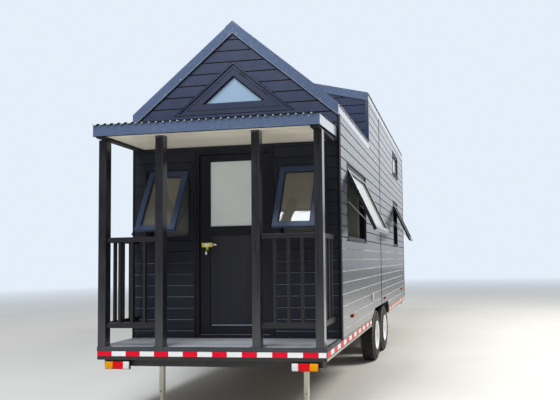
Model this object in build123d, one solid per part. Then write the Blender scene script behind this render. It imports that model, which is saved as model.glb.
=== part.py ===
from build123d import *
import os
from math import cos, hypot, radians, sin, tan

# Tiny house on wheels: a gabled cabin with a shed dormer on each side and a
# small porch, carried by a tandem-axle trailer. Millimetres. X runs across,
# +Y from the porch to the drawbar, and Z is up from the ground. The origin
# is the middle of the footprint.

# Trailer
deck_width = 2400
deck_length = 7700
rail_top = 685
rail_height = 90
rail_width = 50
beam_spacing = 1554
beam_width = 50
beam_height = 160
crossmember_count = 10
crossmember_width = 40
crossmember_height = 75
drawbar_reach = 1150
drawbar_width = 50
drawbar_height = 100
drawbar_foot_spacing = 1400
drawbar_tip_spacing = 110
coupler_length = 260
coupler_width = 90
coupler_height = 60
socket_radius = 25.5
socket_depth = 36
eye_thickness = 10
eye_depth = 40
eye_height = 65
eye_hole_radius = 12
eye_inset = 15

# Running gear
wheel_radius = 380
tyre_width = 225
tyre_wall = 14
tread_inset = 22
tread_bevel = 12
tread_drop = 6
bead_gap = 0.2
rim_radius = 203
rim_flange_radius = 219
rim_flange_width = 8
rim_wall = 6
rim_disc_inset = 70
rim_disc_thickness = 8
tyre_face_inset = 10
axle_spacing = 910
axle_centre = 3875
axle_beam = 60
spindle_radius = 20
spindle_length = 150
hub_radius = 52
hub_length = 178
hub_reach = 35
spindle_clearance = 0.06
hub_end_gap = 0.8
spring_width = 60
spring_thickness = 32
spring_length = 600
spring_rise = 55
hanger_thickness = 40

# Wheel arches
arch_from_front = 2762
arch_length = 1983
arch_front_run = 300
arch_back_run = 130
arch_top = 830
well_depth = 275
well_sheet = 4

# Corner jacks
jack_tube = 50
jack_tube_wall = 4
jack_from_end = 600
jack_tube_foot = 120
jack_tube_top = 680
jack_leg_top = 560
jack_leg_clearance = 0.5
jack_foot_size = 150
jack_foot_thickness = 8

# Rear lamps
lamp_from_side = 220
lamp_width = 270
lamp_height = 82
lamp_depth = 34
lamp_drop = 13
lamp_proud = 5
lamp_bracket_depth = 6

# Floor and walls
floor_thickness = 40
porch_depth = 640
wall_thickness = 100
dormer_from_front = 2720

# Roofs
eave_height = 3285
roof_pitch = 39.8
roof_thickness = 105
dormer_pitch = 13.2
dormer_roof_thickness = 100
ridge_cap_width = 110
ridge_cap_thickness = 5
fascia_thickness = 12
fascia_height = 100
fascia_lip = 10
rake_thickness = 20
dormer_rake_lip = 18
seam = 1

# Porch roof
porch_overhang = 114
porch_fascia_thickness = 20
porch_fascia_height = 110
porch_roof_bottom = 2863
porch_roof_rise = 39
porch_roof_inset = 15
porch_sheet = 16
porch_sheet_lip = 12
porch_ceiling_thickness = 12
porch_ceiling_step = 5
porch_beam_width = 85
porch_beam_height = 120
porch_beam_drop = 20

# Porch posts and railings
post_size = 85
left_post_inset = 45
right_post_inset = 67
entry_centre = -16
entry_post_spacing = 1022
top_rail_height = 50
top_rail_above_deck = 1060
bottom_rail_height = 56
bottom_rail_above_deck = 185
rail_depth = 45
baluster = 30
balusters_per_bay = 3
rail_inset = 20

# Door
door_width = 810
door_height = 2005
door_thickness = 44
door_inset = 20
door_clearance = 5
door_frame_width = 40
door_sill_height = 35
stile_width = 115
top_rail_width = 70
middle_rail_height = 95
bottom_rail_door = 85
glass_above_floor = 1234
panel_recess = 12
door_glass_thickness = 20
hinge_count = 3
hinge_from_end = 250
hinge_height = 100
hinge_plate = 3
hinge_plate_width = 30
knuckle_radius = 6.5
pin_radius = 4
pin_clearance = 0.06
knuckle_gap = 0.5
axis_off_face = 7
axis_off_edge = 4

# Door lever
lever_above_floor = 1033
lever_from_edge = 72
lever_length = 140
lever_thickness = 14
lever_stand_off = 36
rose_radius = 26
rose_thickness = 8
lock_drop = 89
keyhole_radius = 16
spindle_size = 5
lever_clearance = 0.1

# Windows
frame_bar = 35
frame_depth = 70
sash_bar = 60
sash_depth = 40
sash_gap = 3
sash_hang = 0.3
sash_angle = 25
fixed_bar = 60
glass_thickness = 16
glass_setback = 22
stay_width = 20
stay_thickness = 4
stay_on_frame = 0.56
stay_on_sash = 0.92
front_window_width = 540
front_window_height = 820
front_window_from_side = 425
front_window_sill = 1815
long_window_width = 1250
long_window_height = 885
long_window_centre = 1705
long_window_sill = 1805
short_window_width = 630
short_window_height = 885
short_window_centre = 6045
short_window_sill = 1830
loft_window_width = 850
loft_window_height = 435
loft_window_centre = 6175
loft_window_drop = 176
gable_window_height = 552
gable_window_drop = 485
gable_frame_bar = 105

# Places worked out from the sizes above
half_width = deck_width / 2
lamp_centre = half_width - lamp_from_side
front_window_centre = half_width - front_window_from_side
porch_roof_width = deck_width - 2 * porch_roof_inset
deck_top = rail_top + floor_thickness
overall_front = porch_overhang + porch_sheet_lip
deck_front = overall_front - (overall_front + deck_length + drawbar_reach) / 2
deck_end = deck_front + deck_length
wall_front = deck_front + porch_depth
dormer_front = deck_front + dormer_from_front
inner_half = half_width - wall_thickness
beam_inner = beam_spacing / 2 - beam_width / 2
beam_outer = beam_spacing / 2 + beam_width / 2
wheel_middle = deck_front + axle_centre
arch_start = deck_front + arch_from_front
arch_end = arch_start + arch_length
axle_places = (wheel_middle - axle_spacing / 2, wheel_middle + axle_spacing / 2)
tyre_outer_face = half_width - tyre_face_inset
roof_slope = tan(radians(roof_pitch))
roof_drop = roof_thickness / cos(radians(roof_pitch))
dormer_slope = tan(radians(dormer_pitch))
dormer_drop = dormer_roof_thickness / cos(radians(dormer_pitch))
ridge_height = eave_height + roof_slope * half_width
dormer_eave = ridge_height - dormer_slope * half_width - dormer_drop
gable_window_apex = ridge_height - gable_window_drop
gable_window_sill = gable_window_apex - gable_window_height
loft_window_sill = dormer_eave - loft_window_drop - loft_window_height
post_top = porch_roof_bottom + porch_ceiling_step
porch_beam_bottom = post_top - porch_beam_drop
door_bottom = deck_top + door_sill_height + door_clearance
door_top = door_bottom + door_height
door_face = wall_front + door_inset
door_opening = door_width / 2 + door_clearance + door_frame_width
gable_seam = door_top + door_clearance + door_frame_width


def block(xs, ys, zs):
    """A box between a low and a high value on each axis."""
    middle = [(low + high) / 2 for low, high in (xs, ys, zs)]
    size = [high - low for low, high in (xs, ys, zs)]
    return Pos(*middle) * Box(*size)


def prism_along_y(points, ys):
    """Extrude an outline of (x, z) points from ys[0] to ys[1]."""
    outline = Polyline(*[(x, ys[0], z) for x, z in points], close=True)
    return extrude(make_face(outline), amount=ys[1] - ys[0], dir=(0, 1, 0))


def prism_along_x(points, xs):
    """Extrude an outline of (y, z) points from xs[0] to xs[1]."""
    outline = Polyline(*[(xs[0], y, z) for y, z in points], close=True)
    return extrude(make_face(outline), amount=xs[1] - xs[0], dir=(1, 0, 0))


def prism_along_z(points, zs):
    """Extrude an outline of (x, y) points from zs[0] to zs[1]."""
    outline = Polyline(*[(x, y, zs[0]) for x, y in points], close=True)
    return extrude(make_face(outline), amount=zs[1] - zs[0], dir=(0, 0, 1))


def rod(radius, length, centre, turn=(0, 0, 0)):
    """A cylinder of a given length, turned from Z and centred."""
    return Pos(*centre) * Rot(*turn) * Cylinder(radius, length)


def both_sides(shape):
    """A shape and its mirror image across the middle of the house."""
    return [shape, mirror(shape, Plane.YZ)]


def roof_line(x):
    """Height of the steep roof's top at a distance from the ridge."""
    return ridge_height - roof_slope * abs(x)


def dormer_line(x):
    """Height of the dormer roof's top at a distance from the ridge."""
    return ridge_height - dormer_slope * abs(x)


def perimeter_rails():
    """Two U-shaped edge rails that stop either side of the wheels."""
    rails = []
    zs = (rail_top - rail_height, rail_top)
    for end, towards, stop in ((deck_front, 1, arch_start), (deck_end, -1, arch_end)):
        inner = end + towards * rail_width
        rail = block((-half_width, half_width), sorted((end, inner)), zs)
        long_rail = block((half_width - rail_width, half_width), sorted((inner, stop)), zs)
        for side in both_sides(long_rail):
            rail = rail + side
        rails.append(rail)
    rails[0] = rails[0] + tie_down_eye()
    return rails


def tie_down_eye():
    """A welded lashing plate with one hole, under the right front corner."""
    outer = half_width - eye_inset
    top = rail_top - rail_height
    middle = deck_front + rail_width / 2
    plate = block((outer - eye_thickness, outer), (middle - eye_depth / 2, middle + eye_depth / 2),
                  (top - eye_height, top))
    hole = rod(eye_hole_radius, 3 * eye_thickness,
               (outer - eye_thickness / 2, middle, top - eye_height / 2), (0, 90, 0))
    return plate - hole


def main_beams():
    """The two long beams between the end crossbeams."""
    ys = (deck_front + 2 * rail_width, deck_end - 2 * rail_width)
    return both_sides(block((beam_inner, beam_outer), ys, (rail_top - beam_height, rail_top)))


def crossmembers():
    """The deep end crossbeams, the ties between the beams and the outriggers."""
    inside = half_width - rail_width
    deep = (rail_top - beam_height, rail_top)
    members = [
        block((-inside, inside), (deck_front + rail_width, deck_front + 2 * rail_width), deep),
        block((-inside, inside), (deck_end - 2 * rail_width, deck_end - rail_width), deep),
    ]
    span = deck_length - 4 * rail_width
    zs = (rail_top - crossmember_height, rail_top)
    for number in range(1, crossmember_count + 1):
        middle = deck_front + 2 * rail_width + span * number / (crossmember_count + 1)
        ys = (middle - crossmember_width / 2, middle + crossmember_width / 2)
        members.append(block((-beam_inner, beam_inner), ys, zs))
        if ys[1] < arch_start or ys[0] > arch_end:
            members += both_sides(block((beam_outer, inside), ys, zs))
    return members


def drawbar():
    """Two bars that run together from the frame to the coupler."""
    foot = drawbar_foot_spacing / 2
    tip = drawbar_tip_spacing / 2
    outline = [(foot, deck_end), (foot - drawbar_width, deck_end),
               (tip - drawbar_width, deck_end + drawbar_reach - coupler_length / 2),
               (tip, deck_end + drawbar_reach - coupler_length / 2)]
    return both_sides(prism_along_z(outline, (rail_top - drawbar_height, rail_top)))


def coupler():
    """The towing head, with a round socket for the ball underneath."""
    tip = deck_end + drawbar_reach
    half = coupler_width / 2
    bottom = rail_top
    body = block((-half, half), (tip - coupler_length, tip - half), (bottom, bottom + coupler_height))
    body = body + rod(half, coupler_height, (0, tip - half, bottom + coupler_height / 2))
    socket = rod(socket_radius, socket_depth, (0, tip - half, bottom + socket_depth / 2))
    return body - socket


def axles():
    """Two square axle beams, with a round spindle at each end."""
    beam_end = tyre_outer_face - rim_disc_inset - hub_length + hub_reach - hub_end_gap
    result = []
    half = axle_beam / 2
    for middle in axle_places:
        beam = block((-beam_end, beam_end), (middle - half, middle + half),
                     (wheel_radius - half, wheel_radius + half))
        spindle = rod(spindle_radius, 2 * (beam_end + spindle_length), (0, middle, wheel_radius), (0, 90, 0))
        result.append(beam + spindle)
    return result


def leaf_springs():
    """On each side two sprung leaves in three hangers under the beam."""
    middle_x = beam_spacing / 2
    xs = (middle_x - spring_width / 2, middle_x + spring_width / 2)
    seat = wheel_radius + axle_beam / 2
    under = rail_top - beam_height
    set_of_springs = None
    for place in axle_places:
        reach = spring_length / 2
        end = seat + spring_rise
        outline = [(place - reach, end), (place - axle_beam, seat), (place + axle_beam, seat),
                   (place + reach, end), (place + reach, end + spring_thickness),
                   (place + axle_beam, seat + spring_thickness),
                   (place - axle_beam, seat + spring_thickness),
                   (place - reach, end + spring_thickness)]
        leaf = prism_along_x(outline, xs)
        set_of_springs = leaf if set_of_springs is None else set_of_springs + leaf
    low = seat + spring_rise
    inner_gap = axle_spacing - spring_length + 2 * hanger_thickness
    first = axle_places[0] - spring_length / 2
    last = axle_places[1] + spring_length / 2
    hangers = [(first, first + hanger_thickness),
               (wheel_middle - inner_gap / 2, wheel_middle + inner_gap / 2),
               (last - hanger_thickness, last)]
    for ys in hangers:
        set_of_springs = set_of_springs + block(xs, ys, (low, under))
    return both_sides(set_of_springs)


def wheel_profile(points):
    """A closed outline of (x, radius) points about the wheel's centre plane."""
    return make_face(Polyline(*[(x, 0, radius) for x, radius in points], close=True))


def rim(place, side):
    """A pressed steel rim with its disc and a bored hub."""
    half = tyre_width / 2 - rim_flange_width
    centre = tyre_outer_face - tyre_width / 2
    disc = tyre_width / 2 - rim_disc_inset
    barrel = [(-half, rim_flange_radius), (-half, rim_radius - rim_wall), (half, rim_radius - rim_wall),
              (half, rim_flange_radius), (half - rim_flange_width, rim_flange_radius),
              (half - rim_flange_width, rim_radius), (rim_flange_width - half, rim_radius),
              (rim_flange_width - half, rim_flange_radius)]
    shape = revolve(wheel_profile(barrel), Axis.X, 360)
    plate = [(disc - rim_disc_thickness, spindle_radius + spindle_clearance),
             (disc, spindle_radius + spindle_clearance), (disc, rim_radius - rim_wall / 2),
             (disc - rim_disc_thickness, rim_radius - rim_wall / 2)]
    shape = shape + revolve(wheel_profile(plate), Axis.X, 360)
    hub_outer = disc + hub_reach
    bore = [(hub_outer - hub_length, spindle_radius + spindle_clearance),
            (hub_outer, spindle_radius + spindle_clearance), (hub_outer, hub_radius),
            (hub_outer - hub_length, hub_radius)]
    shape = shape + revolve(wheel_profile(bore), Axis.X, 360)
    shape = Pos(centre, place, wheel_radius) * shape
    return shape if side > 0 else mirror(shape, Plane.YZ)


def tyre(place, side):
    """A hollow tyre that sits between the rim's flanges."""
    bead = tyre_width / 2 - 2 * rim_flange_width - bead_gap
    belly = tyre_width / 2
    tread = tyre_width / 2 - tread_inset
    flat = tread - tread_bevel
    shoulder = wheel_radius - tread_drop
    inside = wheel_radius - tyre_wall
    middle_radius = (rim_flange_radius + wheel_radius) / 2
    with BuildSketch(Plane.XZ) as section:
        with BuildLine():
            Line((-bead, rim_radius), (-bead, rim_flange_radius))
            ThreePointArc((-bead, rim_flange_radius), (-belly, middle_radius), (-tread, shoulder))
            Line((-tread, shoulder), (-flat, wheel_radius))
            Line((-flat, wheel_radius), (flat, wheel_radius))
            Line((flat, wheel_radius), (tread, shoulder))
            ThreePointArc((tread, shoulder), (belly, middle_radius), (bead, rim_flange_radius))
            Line((bead, rim_flange_radius), (bead, rim_radius))
            Line((bead, rim_radius), (bead - tyre_wall, rim_radius))
            Line((bead - tyre_wall, rim_radius), (bead - tyre_wall, rim_flange_radius))
            ThreePointArc((bead - tyre_wall, rim_flange_radius), (belly - tyre_wall, middle_radius),
                          (tread - tyre_wall, inside))
            Line((tread - tyre_wall, inside), (tyre_wall - tread, inside))
            ThreePointArc((tyre_wall - tread, inside), (tyre_wall - belly, middle_radius),
                          (tyre_wall - bead, rim_flange_radius))
            Line((tyre_wall - bead, rim_flange_radius), (tyre_wall - bead, rim_radius))
            Line((tyre_wall - bead, rim_radius), (-bead, rim_radius))
        make_face()
    shape = revolve(section.sketch, Axis.X, 360)
    shape = Pos(tyre_outer_face - tyre_width / 2, place, wheel_radius) * shape
    return shape if side > 0 else mirror(shape, Plane.YZ)


def jack_places():
    """The four jacks by name, each with its centre on the ground."""
    x = beam_outer + jack_tube / 2
    front = deck_front + jack_from_end
    back = deck_end - jack_from_end
    return {"front_left": (-x, front), "front_right": (x, front),
            "back_left": (-x, back), "back_right": (x, back)}


def jack_tubes():
    """The fixed outer tubes, clamped to the outside of the main beams."""
    tubes = []
    outer = jack_tube / 2
    inner = outer - jack_tube_wall
    for x, y in jack_places().values():
        tube = block((x - outer, x + outer), (y - outer, y + outer), (jack_tube_foot, jack_tube_top))
        bore = block((x - inner, x + inner), (y - inner, y + inner),
                     (jack_tube_foot - 1, jack_tube_top + 1))
        tubes.append(tube - bore)
    return tubes


def jack_leg(x, y):
    """A sliding inner leg on its foot plate."""
    half = jack_tube / 2 - jack_tube_wall - jack_leg_clearance
    foot = jack_foot_size / 2
    leg = block((x - half, x + half), (y - half, y + half), (jack_foot_thickness, jack_leg_top))
    return leg + block((x - foot, x + foot), (y - foot, y + foot), (0, jack_foot_thickness))


def tail_lights():
    """A rear lamp on a bracket under each front corner of the frame."""
    top = rail_top - rail_height - lamp_drop
    front = deck_front - lamp_proud
    xs = (lamp_centre - lamp_width / 2, lamp_centre + lamp_width / 2)
    lamp = block(xs, (front, front + lamp_depth), (top - lamp_height, top))
    back = front + lamp_depth
    bracket = block(xs, (back - lamp_bracket_depth, back), (top, top + lamp_drop))
    return both_sides(lamp + bracket)


def arch_outline(inset, bottom):
    """The wheel arch in (y, z), set in by a sheet's thickness."""
    sides = []
    for edge, run, inwards in ((arch_start, arch_front_run, 1), (arch_end, arch_back_run, -1)):
        pitch = (arch_top - deck_top) / run
        upright = inset * hypot(1, pitch)
        foot = edge + inwards * inset
        shoulder = edge + inwards * (run + (upright - inset) / pitch)
        sides.append([(foot, bottom), (foot, deck_top + inset * pitch - upright),
                      (shoulder, arch_top - inset)])
    return sides[0] + sides[1][::-1]


def floor():
    """The house floor, notched for the wheels."""
    plate = block((-half_width, half_width), (wall_front, deck_end), (rail_top, deck_top))
    notch = block((half_width - well_depth, half_width + 1), (arch_start, arch_end),
                  (rail_top - 1, deck_top + 1))
    for side in both_sides(notch):
        plate = plate - side
    return plate


def porch_deck():
    """The open deck in front of the door."""
    return block((-half_width, half_width), (deck_front, wall_front), (rail_top, deck_top))


def wheel_wells():
    """Sheet boxes that close the floor and walls over the wheels."""
    xs = (half_width - well_depth, half_width)
    shell = prism_along_x(arch_outline(0, rail_top), xs)
    hollow = prism_along_x(arch_outline(well_sheet, rail_top - 1), (xs[0] + well_sheet, xs[1] + 1))
    return both_sides(shell - hollow)


def front_panel():
    """The front wall beside the door, with a window opening."""
    ys = (wall_front, wall_front + wall_thickness)
    panel = block((door_opening, half_width), ys, (deck_top, gable_seam))
    half = front_window_width / 2
    return panel - block((front_window_centre - half, front_window_centre + half), (ys[0] - 1, ys[1] + 1),
                         (front_window_sill, front_window_sill + front_window_height))


def triangle(apex, sill):
    """The gable window's outline in (x, z), with sides along the roof."""
    half = (apex - sill) / roof_slope
    return [(-half, sill), (half, sill), (0, apex)]


def front_gable():
    """The wall over the door, up to the roof, with the gable window."""
    ys = (wall_front, wall_front + wall_thickness)
    eave = roof_line(half_width) - roof_drop
    outline = [(-half_width, gable_seam), (half_width, gable_seam), (half_width, eave),
               (0, ridge_height - roof_drop), (-half_width, eave)]
    wall = prism_along_y(outline, ys)
    return wall - prism_along_y(triangle(gable_window_apex, gable_window_sill), (ys[0] - 1, ys[1] + 1))


def side_opening(centre, width, sill, height):
    """A block that cuts a window opening through the right wall."""
    ys = (deck_front + centre - width / 2, deck_front + centre + width / 2)
    return block((inner_half - 1, half_width + 1), ys, (sill, sill + height))


def side_wall_front():
    """The low side wall under the steep roof."""
    outline = [(inner_half, deck_top), (half_width, deck_top),
               (half_width, roof_line(half_width) - roof_drop),
               (inner_half, roof_line(inner_half) - roof_drop)]
    wall = prism_along_y(outline, (wall_front + wall_thickness, dormer_front))
    return wall - side_opening(long_window_centre, long_window_width, long_window_sill, long_window_height)


def side_wall_rear():
    """The tall side wall under the dormer roof, cut for the wheels."""
    outline = [(inner_half, deck_top), (half_width, deck_top), (half_width, dormer_eave),
               (inner_half, dormer_line(inner_half) - dormer_drop)]
    wall = prism_along_y(outline, (dormer_front, deck_end - wall_thickness))
    wall = wall - side_opening(short_window_centre, short_window_width, short_window_sill,
                               short_window_height)
    wall = wall - side_opening(loft_window_centre, loft_window_width, loft_window_sill,
                               loft_window_height)
    return wall - prism_along_x(arch_outline(0, deck_top - 1), (inner_half - 1, half_width + 1))


def end_wall():
    """The plain far wall under the dormer roofs."""
    outline = [(-half_width, deck_top), (half_width, deck_top), (half_width, dormer_eave),
               (0, ridge_height - dormer_drop), (-half_width, dormer_eave)]
    return prism_along_y(outline, (deck_end - wall_thickness, deck_end))


def dormer_cheeks():
    """The front walls of the dormers, over the steep roof."""
    outline = [(seam, dormer_line(seam) - dormer_drop), (inner_half, dormer_line(inner_half) - dormer_drop),
               (inner_half, roof_line(inner_half) - roof_drop), (seam, roof_line(seam) - roof_drop)]
    return both_sides(prism_along_y(outline, (dormer_front, dormer_front + wall_thickness)))


def main_roof():
    """One steep roof slab at the porch end."""
    outline = [(0, ridge_height), (half_width, roof_line(half_width)),
               (half_width, roof_line(half_width) - roof_drop), (0, ridge_height - roof_drop)]
    return prism_along_y(outline, (wall_front, dormer_front))


def dormer_roof():
    """One low roof slab from the ridge to the dormer's eave."""
    outline = [(0, ridge_height), (half_width, dormer_line(half_width)),
               (half_width, dormer_line(half_width) - dormer_drop), (0, ridge_height - dormer_drop)]
    return prism_along_y(outline, (dormer_front, deck_end))


def ridge_cap():
    """The folded ridge cap, steep over the front and low over the dormers."""
    caps = []
    stretches = ((roof_pitch, wall_front - rake_thickness, dormer_front - fascia_thickness - seam),
                 (dormer_pitch, dormer_front, deck_end))
    for pitch, start, stop in stretches:
        reach = ridge_cap_width * cos(radians(pitch))
        fall = ridge_cap_width * sin(radians(pitch))
        lift = ridge_cap_thickness / cos(radians(pitch))
        edge = ridge_height - fall
        outline = [(0, ridge_height), (reach, edge), (reach, edge + lift),
                   (0, ridge_height + lift), (-reach, edge + lift), (-reach, edge)]
        caps.append(prism_along_y(outline, (start, stop)))
    return caps


def rake_boards():
    """The boards that edge the steep roof over the front wall."""
    end = half_width + fascia_thickness
    outline = [(seam / 2, roof_line(seam / 2)), (end, roof_line(end)),
               (end, roof_line(end) - roof_drop), (seam / 2, roof_line(seam / 2) - roof_drop)]
    return both_sides(prism_along_y(outline, (wall_front - rake_thickness, wall_front)))


def eave_fascias():
    """The upright boards under the eaves of the steep and the low roofs."""
    xs = (half_width, half_width + fascia_thickness)
    low_top = roof_line(half_width + fascia_thickness) - fascia_lip
    high_top = dormer_line(half_width + fascia_thickness)
    low = block(xs, (wall_front, dormer_front - fascia_thickness - seam),
                (low_top - fascia_height, low_top))
    high = block(xs, (dormer_front, deck_end), (high_top - dormer_drop, high_top))
    return both_sides(low) + both_sides(high)


def dormer_rakes():
    """The sloping boards on the dormers' front walls and on the far wall."""
    end = half_width + fascia_thickness
    meet = dormer_drop / (roof_slope - dormer_slope)
    top = [(seam / 2, dormer_line(seam / 2) + dormer_rake_lip), (end, dormer_line(end) + dormer_rake_lip),
           (end, dormer_line(end) - dormer_drop)]
    front = top + [(meet, roof_line(meet)), (seam / 2, roof_line(seam / 2))]
    back = top + [(seam / 2, dormer_line(seam / 2) - dormer_drop)]
    boards = both_sides(prism_along_y(front, (dormer_front - fascia_thickness, dormer_front)))
    return boards + both_sides(prism_along_y(back, (deck_end, deck_end + fascia_thickness)))


def porch_slope(y):
    """Height of the porch fascia's bottom edge, which rises to the wall."""
    start = deck_front - porch_overhang
    return porch_roof_bottom + porch_roof_rise * (y - start) / (wall_front - start)


def porch_fascia():
    """The three boards round the porch roof."""
    outer = porch_roof_width / 2
    inner = outer - porch_fascia_thickness
    front = deck_front - porch_overhang
    back = front + porch_fascia_thickness
    height = porch_fascia_height
    fascia = prism_along_x([(front, porch_slope(front)), (front, porch_slope(front) + height),
                            (back, porch_slope(back) + height), (back, porch_slope(back))], (-outer, outer))
    side = prism_along_x([(back, porch_slope(back)), (back, porch_slope(back) + height),
                          (wall_front, porch_slope(wall_front) + height),
                          (wall_front, porch_slope(wall_front))], (inner, outer))
    for board in both_sides(side):
        fascia = fascia + board
    return fascia


def porch_roof():
    """The roof sheet on the porch fascia."""
    front = deck_front - porch_overhang - porch_sheet_lip
    bottom = porch_fascia_height
    reach = porch_roof_width / 2 + porch_sheet_lip
    outline = [(front, porch_slope(front) + bottom), (front, porch_slope(front) + bottom + porch_sheet),
               (wall_front, porch_slope(wall_front) + bottom + porch_sheet),
               (wall_front, porch_slope(wall_front) + bottom)]
    return prism_along_x(outline, (-reach, reach))


def porch_ceiling():
    """The boarded ceiling between the porch's side beams, on the middle posts."""
    reach = porch_roof_width / 2 - porch_fascia_thickness - porch_beam_width
    ys = (deck_front - porch_overhang + porch_fascia_thickness, wall_front)
    return block((-reach, reach), ys, (post_top, post_top + porch_ceiling_thickness))


def porch_beams():
    """The beams on the corner posts, between the ceiling and the side fascias."""
    outer = porch_roof_width / 2 - porch_fascia_thickness
    ys = (deck_front - porch_overhang + porch_fascia_thickness, wall_front)
    return both_sides(block((outer - porch_beam_width, outer), ys,
                            (porch_beam_bottom, porch_beam_bottom + porch_beam_height)))


def post_centres():
    """Where the four front posts stand along X, from left to right."""
    half = entry_post_spacing / 2
    return [left_post_inset - half_width, entry_centre - half, entry_centre + half,
            half_width - right_post_inset]


def porch_posts():
    """The four posts along the front edge of the deck, with the side beams."""
    half = post_size / 2
    ys = (deck_front, deck_front + post_size)
    tops = (porch_beam_bottom, post_top, post_top, porch_beam_bottom)
    posts = [block((x - half, x + half), ys, (deck_top, top)) for x, top in zip(post_centres(), tops)]
    return posts + porch_beams()


def railing_levels():
    """The heights of the top rail and of the bottom rail."""
    top = deck_top + top_rail_above_deck
    bottom = deck_top + bottom_rail_above_deck
    return (top, top + top_rail_height), (bottom, bottom + bottom_rail_height)


def front_railing(left, right):
    """Two rails and their balusters between two front posts."""
    top, bottom = railing_levels()
    ys = (deck_front + rail_inset, deck_front + rail_inset + rail_depth)
    panel = block((left, right), ys, top) + block((left, right), ys, bottom)
    middle = (ys[0] + ys[1]) / 2
    for number in range(1, balusters_per_bay + 1):
        x = left + (right - left) * number / (balusters_per_bay + 1)
        panel = panel + block((x - baluster / 2, x + baluster / 2),
                              (middle - baluster / 2, middle + baluster / 2), (bottom[1], top[0]))
    return panel


def side_railing(middle):
    """Two rails and their balusters from a corner post to the wall."""
    top, bottom = railing_levels()
    xs = (middle - rail_depth / 2, middle + rail_depth / 2)
    ys = (deck_front + post_size, wall_front)
    panel = block(xs, ys, top) + block(xs, ys, bottom)
    for number in range(1, balusters_per_bay + 1):
        y = ys[0] + (ys[1] - ys[0]) * number / (balusters_per_bay + 1)
        panel = panel + block((middle - baluster / 2, middle + baluster / 2),
                              (y - baluster / 2, y + baluster / 2), (bottom[1], top[0]))
    return panel


def hinge_heights():
    """The middle of each door hinge."""
    low = door_bottom + hinge_from_end
    high = door_top - hinge_from_end
    return [low + (high - low) * number / (hinge_count - 1) for number in range(hinge_count)]


def hinge_axis():
    """The door hinges' axis in (x, y), at the inner corner of the leaf."""
    return door_width / 2 + axis_off_edge, door_face + door_thickness + axis_off_face


def door_frame():
    """The door frame with its sill, fixed knuckles and hinge pins."""
    ys = (wall_front, door_face + door_thickness)
    inner = door_opening - door_frame_width
    frame = block((-door_opening, door_opening), ys, (deck_top, gable_seam))
    frame = frame - block((-inner, inner), (ys[0] - 1, ys[1] + 1),
                          (deck_top + door_sill_height, door_top + door_clearance))
    x, y = hinge_axis()
    third = hinge_height / 3
    for middle in hinge_heights():
        frame = frame + rod(pin_radius, hinge_height, (x, y, middle))
        for step in (-1, 1):
            centre = middle + step * third
            height = third - knuckle_gap
            frame = frame + rod(knuckle_radius, height, (x, y, centre))
            frame = frame + block((x, x + hinge_plate_width), (ys[1], ys[1] + hinge_plate),
                                  (centre - height / 2, centre + height / 2))
    return frame


def door_leaf():
    """The door leaf, open for its glass, with a sunk lower panel."""
    half = door_width / 2
    ys = (door_face, door_face + door_thickness)
    leaf = block((-half, half), ys, (door_bottom, door_top))
    opening = half - stile_width
    glass_low = deck_top + glass_above_floor
    leaf = leaf - block((-opening, opening), (ys[0] - 1, ys[1] + 1), (glass_low, door_top - top_rail_width))
    panel = (door_bottom + bottom_rail_door, glass_low - middle_rail_height)
    leaf = leaf - block((-opening, opening), (ys[0] - 1, ys[0] + panel_recess), panel)
    lever_x, lever_z = lever_place()
    leaf = leaf - rod(spindle_size + lever_clearance, 3 * door_thickness, (lever_x, ys[0], lever_z),
                      (90, 0, 0))
    x, y = hinge_axis()
    third = hinge_height / 3
    for middle in hinge_heights():
        knuckle = rod(knuckle_radius, third - knuckle_gap, (x, y, middle))
        plate = block((x - hinge_plate_width, x), (ys[1], ys[1] + hinge_plate),
                      (middle - third / 2 + knuckle_gap / 2, middle + third / 2 - knuckle_gap / 2))
        bore = rod(pin_radius + pin_clearance, hinge_height, (x, y, middle))
        leaf = leaf + ((knuckle + plate) - bore)
    return leaf


def door_glass():
    """The pane in the upper half of the door."""
    half = door_width / 2 - stile_width
    middle = door_face + door_thickness / 2
    glass_low = deck_top + glass_above_floor
    return block((-half, half), (middle - door_glass_thickness / 2, middle + door_glass_thickness / 2),
                 (glass_low, door_top - top_rail_width))


def lever_place():
    """The lever's axis in (x, z), on the stile away from the hinges."""
    return -door_width / 2 + lever_from_edge, deck_top + lever_above_floor


def door_handle():
    """A lever on each side of the door, on one spindle."""
    x, z = lever_place()
    outer = door_face - lever_stand_off
    inner = door_face + door_thickness + lever_stand_off
    length = inner - outer + 2 * lever_thickness
    handle = rod(spindle_size, length, (x, (outer + inner) / 2, z), (90, 0, 0))
    half = lever_thickness / 2
    for low in (outer - lever_thickness, inner):
        handle = handle + block((x - half, x + lever_length), (low, low + lever_thickness),
                                (z - half, z + half))
    return handle


def door_lock():
    """Round roses on both faces, and the lock's escutcheons under them."""
    x, z = lever_place()
    plates = []
    for low in (door_face - rose_thickness, door_face + door_thickness):
        middle = low + rose_thickness / 2
        rose = rod(rose_radius, rose_thickness, (x, middle, z), (90, 0, 0))
        rose = rose - rod(spindle_size + lever_clearance, 2 * rose_thickness, (x, middle, z), (90, 0, 0))
        plates.append(rose)
        plates.append(rod(keyhole_radius, rose_thickness, (x, middle, z - lock_drop), (90, 0, 0)))
    return plates


def upright_ring(width, height, bar, depth, bottom=0):
    """A rectangular ring in a wall, centred on X, from Y = 0 inwards."""
    ring = block((-width / 2, width / 2), (0, depth), (bottom, bottom + height))
    return ring - block((bar - width / 2, width / 2 - bar), (-1, depth + 1),
                        (bottom + bar, bottom + height - bar))


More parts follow.
